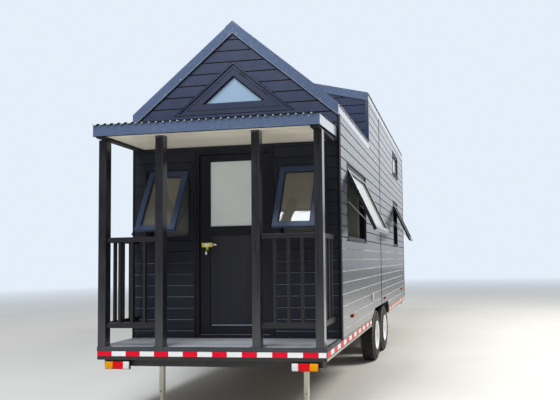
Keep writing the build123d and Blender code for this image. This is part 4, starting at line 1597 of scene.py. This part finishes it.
        # Painted shade on the porch fascia's underside.
        dress_faces(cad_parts["porch_fascia"], CORNER_AND_SHADE, lambda middle, way: way.z < -0.5)


@dataclass(frozen=True)
class Porch:
    """The deck, its nosing, the ceiling, the posts and the railings."""

    boards: int = 5
    board_depth: float = 0.022
    gap: float = 0.003
    nosing: float = 0.033
    ceiling_boards: int = 8
    ceiling_groove: float = 0.004
    post_centres: tuple[float, ...] = (-1.155, -0.527, 0.495, 1.133)
    post_half: float = 0.0425
    post_shade_above: float = 2.84

    def deck(self) -> None:
        """Boards across the porch inside an angle nosing."""
        low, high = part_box("porch_deck")
        edge = SHELL.half_width - self.nosing
        front = low.y + self.nosing
        pitch = (high.y - front) / self.boards
        board = block("board", (-edge, edge), (front + self.gap / 2, front + pitch - self.gap / 2),
                      (high.z - self.board_depth, high.z))
        dress(repeat(soften(board, 0.002), self.boards, (0, pitch, 0)), DECKING)
        bed = block("bed", (-edge, edge), (front, high.y), (low.z, high.z - self.board_depth - 0.0005))
        settle(joined("deck_planks", [board, dress(bed, CHASSIS)]), ["porch_deck"])
        rim = block("deck_nosing", grown((low.x, high.x), 0.003), (low.y - 0.003, high.y - 0.014),
                    (low.z - 0.002, high.z))
        cut_block(rim, (-edge, edge), (front, 0), (0, 2))
        # Painted highlight: the side nosing's top faces take the lighter edge paint.
        dress_faces(dress(soften(rim, 0.002), NOSING), EDGE,
                    lambda middle, way: way.z > 0.7 and abs(middle.x) > edge and middle.y > front)
        settle(rim)

    def ceiling(self) -> None:
        """Grooved boards between the porch fascias."""
        low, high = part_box("porch_ceiling")
        pitch = (high.y - low.y) / self.ceiling_boards
        board = block("ceiling_planks", (low.x, high.x), (low.y, low.y + pitch), (low.z, high.z))
        under = low.z + 0.001
        chamfer(board, self.ceiling_groove, lambda middle, way: abs(way.x) > 0.5 and middle.z < under)
        repeat(board, self.ceiling_boards, (0, pitch, 0))
        settle(dress(board, CEILING), ["porch_ceiling"])

    def post_feet(self) -> None:
        """Small angle plates at the feet of the posts."""
        low, ys = SHELL.deck_top, (SHELL.deck_front + 0.02, SHELL.deck_front + 0.065)
        plates = []
        for centre in self.post_centres:
            for side in (-1, 1):
                near = centre + side * self.post_half
                plates.append(block("plate", (near, near + side * 0.003), ys, (low, low + 0.045)))
                if abs(near) < SHELL.half_width - 0.04:
                    plates.append(block("foot", (near, near + side * 0.035), ys, (low, low + 0.003)))
        piece = joined("post_angles", plates)
        settle(dress(soften(piece, 0.0008, 1), DARK_STEEL))

    def build(self) -> None:
        """Make the whole porch."""
        self.deck()
        self.ceiling()
        self.post_feet()
        posts = refine("porch_posts", POST_WOOD, 0.003)
        level = self.post_shade_above
        # Painted shade: the tops of the outer posts, under the fascia, are black.
        dress_faces(posts, GASKET_AND_SHADE, lambda middle, way: middle.z > level and abs(middle.x) > 1.0)
        # Painted sheen on the side face of the outer right post.
        dress_faces(posts, PAINTED_POST_SHEEN,
                    lambda middle, way: middle.z < level and way.x > 0.95 and middle.x > 1.1)
        for kind, finish in (("front", RAIL_WOOD), ("side", SIDE_RAIL_WOOD)):
            for side in ("left", "right"):
                refine(f"{kind}_railing_{side}", finish)


@dataclass(frozen=True)
class Door:
    """The door's seals, its grained panel, its lever and its lock."""

    face: float = -3.702
    thickness: float = 0.044
    glass: tuple[float, float, float, float] = (-0.29, 0.29, 1.959, 2.7)
    panel: tuple[float, float, float, float] = (-0.29, 0.29, 0.85, 1.864)
    panel_gap: float = 0.007
    lever: Span = (-0.333, 1.758)
    lever_length: float = 0.14
    lock_drop: float = 0.089

    def seals(self) -> None:
        """Gaskets round the glass on both faces, and the groove and raised field in the sunk panel."""
        left, right, low, high = self.glass
        back = self.face + self.thickness
        parts = []
        for name, facing, plane in (("front", Facing.FRONT, self.face), ("back", Facing.BACK, back)):
            seal = ring("seal_" + name, facing, plane, (left, right), (low, high), -0.006, (-0.0115, -0.001))
            parts.append(dress(soften(seal, 0.0015), GASKET_AND_SHADE))
        settle(joined("door_beads", parts), body="front_door")
        left, right, low, high = self.panel
        gap = self.panel_gap
        groove = ring("panel_groove", Facing.FRONT, self.face, (left, right), (low, high), -gap,
                      (-0.012, -0.0105))
        field = block("panel_field", (left + gap, right - gap), (self.face + 0.004, self.face + 0.012),
                      (low + gap, high - gap))
        with editing(field):
            pick(field, "FACE", lambda middle, way: way.y < -0.9)
            bpy.ops.mesh.inset(thickness=0.012, depth=0)
            bpy.ops.transform.translate(value=(0, 0.005, 0))
        dress(soften(field, 0.001, 1), DOOR_GRAIN)
        shelf = dress_faces(field, EDGE, lambda middle, way: way.z > 0.3 and middle.z < low + 0.03)
        settle(joined("door_panel", [dress(groove, GASKET_AND_SHADE), shelf]), body="front_door")

    def grip(self, name: str, outward: float, near: float) -> Piece:
        """One side's lever: a round neck and a flattened grip.

        Args:
            name: The piece's name.
            outward: -1 for the porch side, 1 for the room side.
            near: The Y of the door's face on that side.

        Returns:
            The lever of that side.
        """
        x, z = self.lever
        far = near + outward * 0.05
        neck = bar(name + "_neck", 0.0095, (x, near, z), (x, far - outward * 0.004, z))
        grip = block(name, (x - 0.011, x + self.lever_length), (far - outward * 0.014, far), around(z, 0.01))
        with editing(grip):
            pick(grip, "FACE", lambda middle, way: way.x > 0.9)
            bpy.ops.transform.resize(value=(1, 0.9, 1.0))
        soften(grip, 0.0045, 3)
        return joined(name, [grip, neck])

    def handles(self) -> None:
        """Both levers on their spindle, and the film on the outer one."""
        x, z = self.lever
        back = self.face + self.thickness
        spindle = bar("spindle", 0.0048, (x, self.face - 0.01, z), (x, back + 0.01, z), 12)
        parts = [self.grip("lever_outer", -1, self.face), self.grip("lever_inner", 1, back), spindle]
        settle(dress(joined("levers", parts), STAINLESS), ["door_handle"], "door_lever")
        films = (((-0.026, 0.016), (-0.026, 0.02), YELLOW_FILM),
                 ((0.01, 0.058), (-0.02, 0.019), WHITE_FILM),
                 ((0.05, 0.088), (-0.022, 0.02), YELLOW_FILM),
                 ((0.024, 0.038), (-0.052, -0.012), YELLOW_FILM))
        wraps = [self.crumpled(seed, (x + along[0], x + along[1]), (z + up[0], z + up[1]), finish)
                 for seed, (along, up, finish) in enumerate(films)]
        settle(joined("lever_film", wraps), body="door_lever")

    def crumpled(self, seed: int, along: Span, up: Span, finish: Finish) -> Piece:
        """A crumpled wrap of protective film round the outer lever.

        Args:
            seed: The number that its creases come from.
            along: Its ends in X.
            up: Its ends in Z.
            finish: Its finish.

        Returns:
            The wrap.
        """
        piece = block("wrap", along, (self.face - 0.06, self.face - 0.028), up)
        with editing(piece):
            bpy.ops.mesh.select_all(action="SELECT")
            bpy.ops.mesh.subdivide(number_cuts=4)
            bpy.ops.transform.vertex_random(offset=0.0055, uniform=1.0, seed=seed)
        return dress(piece, finish)

    def keyholes(self) -> None:
        """The key cylinder and its slot in each escutcheon."""
        x, middle = self.lever[0], self.lever[1] - self.lock_drop
        parts = []
        for near, way in ((self.face - 0.008, -1), (self.face + self.thickness + 0.008, 1)):
            core = block("core", around(x, 0.0085), (near, near + way * 0.004), around(middle, 0.02))
            slot = block("slot", around(x, 0.0009), around(near + way * 0.004, 0.0004), around(middle, 0.006))
            parts += [dress(soften(core, 0.0038, 4), WHITE_PLASTIC), dress(soften(slot, 0.0002, 1), GASKET_AND_SHADE)]
        settle(joined("key_cylinders", parts), body="front_door")

    def threshold(self) -> None:
        """The ribbed metal tread on the door sill."""
        low, wall = SHELL.deck_top + 0.035, SHELL.wall_front
        tread = block("door_tread", (-0.404, 0.404), (wall + 0.001, self.face - 0.001), (low, low + 0.003))
        rib = block("rib", (-0.4, 0.4), (wall + 0.003, wall + 0.0055), (low + 0.003, low + 0.0042))
        repeat(rib, 3, (0, 0.0055, 0))
        settle(dress(soften(joined("door_tread", [tread, rib]), 0.0006, 1), DARK_STEEL))

    def build(self) -> None:
        """Finish the door."""
        self.seals()
        self.handles()
        self.keyholes()
        self.threshold()
        for node, finish in (("door_leaf", DOOR_PAINT), ("door_frame", DOOR_PAINT), ("door_lock", STAINLESS)):
            refine(node, finish, 0.0015)
        dress(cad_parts["door_glass"], DOOR_GLASS)


@dataclass(frozen=True)
class Windows:
    """Gaskets, drip rails and handles on the windows' frames and sashes."""

    frame_bar: float = 0.035
    sash_bar: float = 0.06
    fixed_bar: float = 0.06
    gap: float = 0.003
    hang: float = 0.0003
    swing: float = math.radians(25)
    seal: float = 0.009
    line: float = 0.034
    two_handles_above: float = 0.8
    catches: tuple[Span, Span] = ((0.1138, 3.6644), (0.3761, 3.4479))
    gable_level: float = 3.0

    def local_ring(self, name: str, along: Span, up: Span, width: float, out: Span) -> Piece:
        """A ring in a window's own frame, out towards the street."""
        return ring(name, Facing.FRONT, 0.0, along, up, width, out)

    def sash_parts(self, place: WindowPlace) -> None:
        """The gaskets, lip and handle of an open sash.

        Args:
            place: The window.
        """
        wide = place.width - 2 * self.frame_bar - 2 * self.gap
        tall = place.height - 2 * self.frame_bar - self.gap
        half = wide / 2 - self.sash_bar
        pane = (self.sash_bar - tall, -self.sash_bar)
        outer = self.local_ring("outer_seal", (-half, half), pane, -self.seal, (-0.022, -0.0165))
        inner = self.local_ring("inner_seal", (-half, half), pane, -self.seal, (-0.04, -0.038))
        edge = self.local_ring("edge_seal", around(0, wide / 2 - 0.007), (0.007 - tall, -0.007), -0.006,
                               (-0.0425, -0.0398))
        drip = block("drip", around(0, wide / 2), (-0.002, 0.0), (0.01 - tall, 0.016 - tall))
        parts = [dress(part, GASKET_AND_SHADE) for part in (soften(outer, 0.0015), soften(inner, 0.0015), edge)]
        parts.append(dress(soften(drip, 0.0008), SASH_METAL))
        level = 0.024 - tall
        for x in (-wide / 3, wide / 3) if wide > self.two_handles_above else (0.0,):
            base = block("base", around(x, 0.028), (0.04, 0.047), around(level, 0.012))
            lever = block("lever", (x - 0.008, x + 0.075), (0.05, 0.06), around(level, 0.007))
            stem = bar("stem", 0.006, (x, 0.045, level), (x, 0.052, level), 12)
            handle = joined("handle", [soften(base, 0.003), soften(lever, 0.004, 3), stem])
            parts.append(dress(handle, DARK_STEEL))
        piece = joined("sash_fittings_" + place.name, parts)
        hang = Matrix.Translation((0, 0, place.height - self.frame_bar - self.hang))
        settle(seat(piece, place.matrix @ hang @ Matrix.Rotation(-self.swing, 4, "X")))

    def frame_parts(self, place: WindowPlace) -> None:
        """The weather seal inside a frame, or a closed window's seal and the line round its sash.

        Args:
            place: The window.
        """
        rings = ((self.fixed_bar, -self.seal, (-0.022, -0.017)), (self.line, -0.003, (-0.001, 0.0012)))
        if place.opens:
            rings = ((self.frame_bar, -0.0025, (-0.064, -0.046)),)
        half, tall = place.width / 2, place.height
        parts = [self.local_ring("seal", (rim - half, half - rim), (rim, tall - rim), width, out)
                 for rim, width, out in rings]
        piece = seat(joined("frame_seal_" + place.name, parts), place.matrix)
        settle(dress(piece, GASKET_AND_SHADE))

    def screen(self, place: WindowPlace) -> None:
        """The fine insect screen inside an open window, in a slim frame.

        Args:
            place: The window.
        """
        half, tall = place.width / 2 - self.frame_bar, place.height - self.frame_bar
        up = (self.frame_bar, tall)
        net = block("net", around(0, half - 0.01), (0.0725, 0.074), grown(up, -0.01))
        # The front windows' screens take the lighter net copy: painted light.
        dress(net, FRONT_NET if place.facing is Facing.FRONT else SCREEN_NET)
        rim = self.local_ring("rim", around(0, half - 0.0004), grown(up, -0.0004), -0.011, (-0.078, -0.069))
        piece = joined("screen_" + place.name, [net, dress(soften(rim, 0.001, 1), FRAME_METAL)])
        settle(seat(piece, place.matrix))

    def sill(self, place: WindowPlace) -> None:
        """The sloped drip sill under a window.

        Args:
            place: The window.
        """
        wide = around(0, place.width / 2 + 0.022)
        piece = block("sill_" + place.name, wide, (-0.03, -0.0142), (-0.022, -0.01))
        trim(piece, (0, -0.03, -0.014), (0, -0.45, 1))
        seat(soften(piece, 0.0015), place.matrix)
        settle(dress(piece, FRAME_METAL))

    def gable(self) -> None:
        """The gable window's gasket, its two lines and its two small catches."""
        wall, apex, sill = SHELL.wall_front, SHELL.frame_apex, SHELL.frame_sill
        seal, line = (wall + 0.016, wall + 0.022), (wall - 0.0012, wall + 0.001)
        slant = 1 / math.cos(SHELL.steep.pitch)
        parts = []
        for ys, outer, inner in ((seal, (0.105 * slant, 0.105), (0.117 * slant, 0.117)),
                                 (line, (0.05, 0.035), (0.058, 0.041)),
                                 (line, (0.0005, 0.0003), (0.0085, 0.0063))):
            part = triangle("line", apex - outer[0], sill + outer[1], ys)
            cutter = triangle("cutter", apex - inner[0], sill + inner[1], around(wall, 0.05))
            parts.append(cut_out(part, cutter))
        turn = Matrix.Rotation(SHELL.steep.pitch, 4, "Y")
        for x, z in self.catches:
            slot = block("slot", (-0.048, 0.048), (-0.0014, 0.0008), (-0.008, 0.008))
            parts.append(seat(slot, Matrix.Translation((x, wall, z)) @ turn))
        settle(dress(joined("seal_gable", parts), GASKET_AND_SHADE))

    def build(self) -> None:
        """Finish all the windows."""
        for place in window_places():
            self.frame_parts(place)
            self.sill(place)
            if place.opens:
                self.sash_parts(place)
                self.screen(place)
        self.gable()
        for side in ("front", "left", "right"):
            frames = refine("window_frames_" + side, FRAME_METAL, 0.0015)
            # The gable frame takes the lighter copy of the window metal: painted light.
            dress_faces(frames, GABLE_METAL, lambda middle, way: middle.z > 3.1)
            # Painted shade: the side windows' reveals are black.
            dress_faces(frames, CORNER_AND_SHADE, lambda middle, way: abs(middle.x) > 1.0 and abs(way.x) < 0.5)
        wide, near, level = SHELL.half_width - 0.02, SHELL.wall_front + 0.05, self.gable_level
        sashes = refine("window_sashes", SASH_METAL, 0.002)
        # The side windows' sashes take the near-black copy: painted shade.
        dress_faces(sashes, SHADED_SIDE_SASH, lambda middle, way: abs(middle.x) > wide)
        stays = refine("window_stays", DARK_STEEL, 0.0008)
        # The side windows' stays take the lighter copy: painted light.
        dress_faces(stays, LIT_STAY_STEEL, lambda middle, way: abs(middle.x) > wide)
        # Each group of panes takes its copy of painted reflection or shade.
        panes = dress(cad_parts["window_glass"], SIDE_GLASS)
        dress_faces(panes, FRONT_GLASS, lambda middle, way: middle.y < near and middle.z < level)
        dress_faces(panes, GABLE_GLASS, lambda middle, way: middle.y < near and middle.z > level)


@dataclass(frozen=True)
class Trailer:
    """Channel beams, tape, lamps and the jacks' fittings."""

    tape_block: float = 0.154
    tape_height: float = 0.05
    tape_low: float = 0.632
    tape_out: float = 0.0008
    lamp_length: float = 0.27
    marker_places: tuple[float, ...] = (-3.107, -0.182, 2.608)
    inlet_place: float = -1.562
    clamp_levels: Span = (0.545, 0.65)
    pin_level: float = 0.15
    jacks: tuple[str, ...] = ("front_left", "front_right", "back_left", "back_right")

    def beams(self) -> None:
        """The two long beams as channels, open towards the middle."""
        low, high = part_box("main_beams")
        right = block("channel_right", (high.x - 0.05, high.x), (low.y, high.y), (low.z, high.z))
        inset(right, lambda middle, way: way.x < -0.9, 0.008, -0.043)
        dress(soften(right, 0.003), CHASSIS)
        left = mirrored(right, "channel_left")
        settle(joined("channel_beams", [right, left]), ["main_beams"])

    def tape(self, name: str, facing: Facing, plane: float, start: float, step: float, count: float) -> Piece:
        """A run of red and white blocks.

        Args:
            name: The piece's name.
            facing: The side that the rail looks to.
            plane: The rail's own X or Y.
            start: Where the run starts along the rail.
            step: A block's length.
            count: How many blocks; a part of a block is cut off.

        Returns:
            The run, in one piece.
        """
        way = Vector((1, 0, 0) if facing is Facing.FRONT else (0, 1, 0))
        runs = []
        for number, finish in enumerate((TAPE_RED, TAPE_WHITE)):
            first = start + number * step
            ends = (first + 0.0004, first + step - 0.0004)
            up = (self.tape_low, self.tape_low + self.tape_height)
            run = block("run", *against(facing, plane, ends, (0.0, self.tape_out), up))
            repeat(soften(run, 0.0003, 1), math.ceil((count - number) / 2), 2 * step * way)
            runs.append(dress(run, finish))
        return trim(joined(name, runs), (start + count * step) * way, way)

    def tapes(self) -> None:
        """The tape on the front rail and on both side rails."""
        front = self.tape("tape_front", Facing.FRONT, SHELL.deck_front, -1.1935, self.tape_block, 15.5)
        settle(front)
        edge = SHELL.half_width
        for end, start, count in (("front", SHELL.deck_front + 0.004, 17.88), ("back", 0.4, 18.8)):
            run = self.tape(f"tape_right_{end}", Facing.RIGHT, edge, start, self.tape_block, count)
            settle_pair(run)
        lips = [soften(block("lip", (edge, edge + 0.0007), ys, (0.596, 0.622)), 0.0002, 1)
                for ys in ((SHELL.deck_front + 0.003, -1.601), (0.384, SHELL.deck_end - 0.003))]
        settle_pair(dress(joined("rail_lip_right", lips), DUSTY_LIP))

    def tail_lamps(self) -> None:
        """Three-part rear lamps in dark housings."""
        low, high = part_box("tail_lights")
        xs, front, top = (high.x - self.lamp_length, high.x), low.y, high.z - 0.013
        back = front + 0.034
        housing = block("housing", xs, (front + 0.012, back), (low.z, top))
        bracket = block("bracket", grown(xs, -0.02), (front + 0.028, back), (top - 0.02, high.z))
        parts = [dress(soften(housing, 0.003), CORNER_AND_SHADE), dress(soften(bracket, 0.001, 1), CHASSIS)]
        for finish, ends in ((CLEAR, (0.0, 0.245)), (RED, (0.255, 0.665)), (AMBER, (0.675, 1.0))):
            start, stop = (xs[0] + 0.004 + (self.lamp_length - 0.008) * end for end in ends)
            lens = block("lens", (start, stop), (front, front + 0.014), (low.z + 0.005, top - 0.005))
            parts.append(dress(soften(lens, 0.005, 3), finish))
        lamp = joined("rear_lamp_right", parts)
        twin = mirrored(lamp, "rear_lamp_left")
        settle(lamp, ["tail_lights"])
        settle(twin)

    def markers(self) -> None:
        """Side marker lamps low on both walls, and the inlet box on the right wall."""
        edge, up = SHELL.half_width + 0.009, (0.884, 0.924)
        for number, y in enumerate(self.marker_places):
            base = block("base", (edge, edge + 0.008), around(y, 0.05), up)
            lens = block("lens", (edge + 0.006, edge + 0.024), around(y, 0.042), grown(up, -0.005))
            parts = [dress(soften(base, 0.003), CORNER_AND_SHADE), dress(soften(lens, 0.007, 3), MARKER)]
            settle_pair(joined(f"marker_right_{number}", parts))
        box = block("box", (edge, edge + 0.016), around(self.inlet_place, 0.03), (0.963, 1.074))
        lid = block("lid", (edge + 0.014, edge + 0.022), around(self.inlet_place, 0.026), (0.985, 1.07))
        piece = joined("power_inlet", [soften(box, 0.004, 3), soften(lid, 0.003)])
        settle(dress(piece, WHITE_PLASTIC))

    def jack_fittings(self) -> None:
        """Clamps round the jacks' tubes and pins through them."""
        for name in self.jacks:
            low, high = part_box("jack_leg_" + name)
            x, y = (low.x + high.x) / 2, (low.y + high.y) / 2
            clamps = []
            for level in self.clamp_levels:
                clamp = block("clamp", around(x, 0.03), around(y, 0.03), (level, level + 0.022))
                cut_block(clamp, around(x, 0.0251), around(y, 0.0251), (0, 1))
                clamps.append(soften(clamp, 0.0015))
            settle(dress(joined("jack_clamp_" + name, clamps), CHASSIS))
            level = self.pin_level
            pin = bar("jack_pin_" + name, 0.006, (x, y - 0.04, level), (x, y + 0.034, level), 16)
            settle(dress(soften(pin, 0.0012), DARK_STEEL))

    def build(self) -> None:
        """Finish the trailer."""
        self.beams()
        self.tapes()
        self.tail_lamps()
        self.markers()
        self.jack_fittings()
        Wheel().build()
        for node in ("perimeter_rails", "crossmembers", "drawbar", "axles", "leaf_springs", "wheel_wells"):
            refine(node, CHASSIS, 0.002)
        refine("coupler", GALVANISED, 0.004)
        refine("jack_tubes", JACK_PAINT, 0.002)
        for name in self.jacks:
            refine("jack_leg_" + name, JACK_PAINT, 0.0015)
        dress(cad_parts["floor"], FLOORING)


@dataclass(frozen=True)
class Wheel:
    """A trailer wheel: treaded tyre and silver disc wheel."""

    radius: float = 0.38
    width: float = 0.225
    rim_radius: float = 0.203
    flange: float = 0.219
    steps: int = 72
    nuts: int = 6
    nut_circle: float = 0.062
    holes: int = 8
    hole_circle: float = 0.138
    shoulder_reach: float = 0.366

    def tyre(self, name: str) -> Piece:
        """The tyre, centred on the origin, with its outer face towards +X.

        Args:
            name: The piece's name.

        Returns:
            The tyre.
        """
        half, radius, flange = self.width / 2, self.radius, self.flange
        low = radius - 0.008
        tread = [(0.004, low), (0.006, radius), (0.041, radius), (0.043, low), (0.05, low), (0.052, radius),
                 (0.081, radius - 0.002)]
        wall = [(0.097, radius - 0.018), (0.106, radius - 0.045), (half - 0.0015, radius - 0.072),
                (half, radius - 0.076), (half - 0.0015, radius - 0.08), (0.11, radius - 0.108),
                (0.1035, flange + 0.02), (0.1045, flange + 0.016), (0.1025, flange + 0.012),
                (0.096, flange + 0.0005), (0.096, self.rim_radius + 0.001)]
        inner = [(0.082, self.rim_radius + 0.001), (0.084, flange), (0.095, radius - 0.076),
                 (0.08, radius - 0.026)]
        outer = tread + wall
        outline = self.flipped(outer) + outer + inner + self.flipped(inner)
        piece = turned(name, outline + outline[:1], self.steps)
        self.tread(piece)
        return dress_faces(dress(piece, TYRE), TYRE_DUST, lambda middle, way: self.on_shoulder(middle)
                           and middle.length > self.shoulder_reach)

    def flipped(self, profile: list[Span]) -> list[Span]:
        """The points of an outline on the wheel's other side, in the opposite order."""
        return [(-x, radius) for x, radius in reversed(profile)]

    def tread(self, piece: Piece) -> None:
        """Press cross grooves into the tread's ribs, staggered from rib to rib.

        Args:
            piece: The plain tyre.
        """
        step = math.tau / self.steps

        def groove(middle: Vector, way: Vector) -> bool:
            """Whether a face of the tread is one of the cross grooves.

            Args:
                middle: The face's middle.
                way: Its normal.

            Returns:
                Whether it is one.
            """
            outer = math.hypot(middle.y, middle.z) >= self.radius - 0.0035 and way.normalized().x ** 2 <= 0.3
            rib = 0 if abs(middle.x) > 0.052 else 1
            return outer and (round(math.atan2(middle.y, middle.z) / step - 0.5) + rib) % 3 == 0

        def lug_gap(middle: Vector, way: Vector) -> bool:
            """Whether a face of a shoulder is a gap between two lugs."""
            return self.on_shoulder(middle) and round(math.atan2(middle.y, middle.z) / step - 0.5) % 2 == 0

        inset(piece, groove, 0.003, -0.006, True)
        inset(piece, lug_gap, 0.004, -0.004, True)

    def on_shoulder(self, middle: Vector) -> bool:
        """Whether a face lies on the rounded edge between tread and side wall."""
        return abs(middle.x) > 0.082 and math.hypot(middle.y, middle.z) > self.radius - 0.04

    def circle(self, count: int, radius: float, start: float = 0.0) -> list[Span]:
        """Places as (y, z) round the axle, the first one turned by a share of a step."""
        turns = (math.tau * (number + start) / count for number in range(count))
        return [(radius * math.sin(turn), radius * math.cos(turn)) for turn in turns]

    def disc(self, name: str) -> Piece:
        """The rim with its dished disc, hand holes, nuts and hub cap.

        Args:
            name: The piece's name.

        Returns:
            The wheel, centred on the origin.
        """
        rim, flange = self.rim_radius, self.flange
        outline = [(-0.1045, flange), (-0.0965, flange), (-0.0965, rim), (-0.055, rim), (-0.045, rim - 0.018),
                   (0.02, rim - 0.018), (0.035, rim), (0.0965, rim), (0.0965, flange), (0.1045, flange),
                   (0.1045, flange - 0.006), (0.099, rim - 0.006), (0.06, rim - 0.01), (0.052, rim - 0.022),
                   (0.066, rim - 0.05), (0.07, 0.118), (0.056, 0.09), (0.05, 0.074), (0.05, 0.0205),
                   (0.042, 0.0205), (0.042, 0.076), (0.048, 0.094), (0.061, 0.12), (0.058, rim - 0.052),
                   (0.04, rim - 0.024), (-0.04, rim - 0.024), (-0.055, rim - 0.006), (-0.099, rim - 0.006),
                   (-0.1045, flange - 0.006)]
        piece = turned(name, outline + outline[:1], self.steps)
        for y, z in self.circle(self.holes, self.hole_circle):
            cut_out(piece, bar("cutter", 0.016, (0.03, y, z), (0.09, y, z), 20))
        parts = [dress(piece, WHEEL_SILVER)]
        for y, z in self.circle(self.nuts, self.nut_circle, 0.5):
            nut = bar("nut", 0.0115, (0.049, y, z), (0.067, y, z), 6)
            parts.append(dress(soften(nut, 0.0015), STAINLESS))
        cap = [(0.049, 0.002), (0.049, 0.036), (0.07, 0.034), (0.08, 0.03), (0.085, 0.02),
               (0.0855, 0.002)]
        parts.append(dress(turned("cap", cap + cap[:1], 32), WHEEL_SILVER))
        hub = [(-0.1, 0.0205), (-0.1, 0.05), (0.042, 0.05), (0.042, 0.0205)]
        parts.append(dress(turned("hub", hub + hub[:1], 32), DARK_STEEL))
        return joined(name, parts)

    def build(self) -> None:
        """Fit all four wheels."""
        tyre = self.tyre("tyre")
        disc = self.disc("disc")
        for end in ("front", "back"):
            for side, sign in (("left", -1), ("right", 1)):
                low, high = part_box(f"tyre_{end}_{side}")
                centre = (low + high) / 2
                body = f"wheel_{end}_{side}"
                for source, slot, node in ((tyre, "rubber", "tyre"), (disc, "wheel_steel", "rim")):
                    piece = copied(source, f"{source.name}_dressed_{end}_{side}")
                    if sign < 0:
                        seat(piece, Matrix.Rotation(math.pi, 4, "Z"))
                    seat(piece, Matrix.Translation(centre))
                    settle(piece, [f"{node}_{end}_{side}"], body)
        for source in (tyre, disc):
            bpy.data.objects.remove(source, do_unlink=True)


@dataclass(frozen=True)
class Studio:
    """The pale floor, the lights and the camera."""

    sky: Colour = (0.93, 0.96, 1.0)
    sky_strength: float = 0.42
    mirrored_sky: Colour = (0.9, 0.94, 1.0)
    backdrop: Colour = (0.78, 0.86, 0.96)
    fade: Span = (7.0, 34.0)
    camera_place: Point = (2.4475, -9.5039, 1.5672)
    yaw: float = -0.1491
    pitch: float = 0.0499
    roll: float = -0.0177
    lens: float = 35.2
    shift: Span = (-0.1684, 0.0566)

    def floor(self) -> None:
        """A wide pale floor that fades into the backdrop."""
        deselect()
        bpy.ops.mesh.primitive_plane_add(size=160, location=(0, 0, -0.0005))
        piece = applied("studio_floor")
        graph = Graph(bpy.data.materials.new("studio_floor"))
        graph.paint(graph.mixed(graph.cloud(1.5), (0.6, 0.585, 0.55), (0.64, 0.625, 0.59)), 0.8)
        away = graph.add("VectorMath", {0: graph.place()}, operation="LENGTH").outputs["Value"]
        seen = graph.add("LightPath", {}).outputs["Is Camera Ray"]
        far = graph.maths("MULTIPLY", graph.span(away, self.fade, (0.0, 1.0)), seen)
        glow = graph.add("Emission", {"Color": (*self.backdrop, 1.0), "Strength": 1.0}).outputs[0]
        both = graph.add("MixShader", {0: far, 1: graph.shader.outputs[0], 2: glow}).outputs[0]
        graph.links.new(both, graph.nodes["Material Output"].inputs["Surface"])
        piece.data.materials.append(graph.owner)

    def world(self) -> None:
        """Plain light from all round, and a pale backdrop where it is seen."""
        world = bpy.data.worlds.new("studio")
        bpy.context.scene.world = world
        graph = Graph(world)
        graph.set(Color=(*self.sky, 1.0), Strength=self.sky_strength)
        parts = graph.add("SeparateXYZ", {0: graph.add("TexCoord", {}).outputs["Generated"]}).outputs
        share = graph.maths("MULTIPLY", graph.span(parts[1], (-0.1, 0.35), (0.12, 1.0)),
                            graph.span(parts[2], (0.0, 0.22), (0.5, 1.0)))
        mirrored_sky = graph.add("Background", {0: (*self.mirrored_sky, 1.0), 1: share}).outputs[0]
        seen = graph.add("Background", {0: (*self.backdrop, 1.0), 1: 1.0}).outputs[0]
        path = graph.add("LightPath", {}).outputs
        plain = graph.shader.outputs[0]
        unseen = graph.add("MixShader", {0: path["Is Glossy Ray"], 1: plain, 2: mirrored_sky}).outputs[0]
        most = graph.maths("MAXIMUM", path["Is Camera Ray"], path["Is Transmission Ray"])
        both = graph.add("MixShader", {0: most, 1: unseen, 2: seen}).outputs[0]
        graph.links.new(both, graph.nodes["World Output"].inputs["Surface"])

    def lamp(self, name: str, place: Point, aim: Point, size: float, power: float, colour: Colour) -> None:
        """A square soft light.

        Args:
            name: The light's name.
            place: Where it hangs.
            aim: The point that it looks at.
            size: The length of its sides.
            power: Its power in watts.
            colour: Its colour.
        """
        data = bpy.data.lights.new(name, "AREA")
        data.size = size
        data.energy = power
        data.color = colour
        lamp = bpy.data.objects.new(name, data)
        bpy.context.scene.collection.objects.link(lamp)
        lamp.location = place
        lamp.rotation_euler = (Vector(aim) - Vector(place)).to_track_quat("-Z", "Y").to_euler()

    def camera(self) -> None:
        """The camera at the photograph's place."""
        data = bpy.data.cameras.new("camera")
        data.lens = self.lens
        data.sensor_width = 36
        data.shift_x, data.shift_y = self.shift
        data.clip_end = 300
        level, rise = math.cos(self.pitch), math.sin(self.pitch)
        forward = Vector((math.sin(self.yaw) * level, math.cos(self.yaw) * level, rise))
        right = Vector((math.cos(self.yaw), -math.sin(self.yaw), 0))
        up = right.cross(forward)
        turned_right = math.cos(self.roll) * right + math.sin(self.roll) * up
        turned_up = math.cos(self.roll) * up - math.sin(self.roll) * right
        axes = Matrix((turned_right, turned_up, -forward)).transposed()
        camera = bpy.data.objects.new("camera", data)
        bpy.context.scene.collection.objects.link(camera)
        camera.matrix_world = Matrix.Translation(self.camera_place) @ axes.to_4x4()
        bpy.context.scene.camera = camera

    def build(self) -> None:
        """Set the whole studio."""
        self.floor()
        self.world()
        self.lamp("key", (9.0, 3.0, 11.0), (0.5, -1.0, 1.8), 5.0, 1700, (1.0, 0.975, 0.93))
        self.lamp("fill", (-2.0, -9.0, 13.0), (0.0, -3.5, 2.4), 6.0, 2000, (0.9, 0.95, 1.0))
        self.camera()
        bpy.context.scene.view_settings.view_transform = "Standard"


def main() -> None:
    """Build the house's finished pieces in order, then the studio."""
    logging.basicConfig(level=logging.INFO, format="%(message)s")
    for part in (Siding(), Trims(), Roofs(), Porch(), Door(), Windows(), Trailer(), Studio()):
        log.info("building %s", type(part).__name__)
        part.build()
    deselect()


if __name__ == "__main__":
    main()
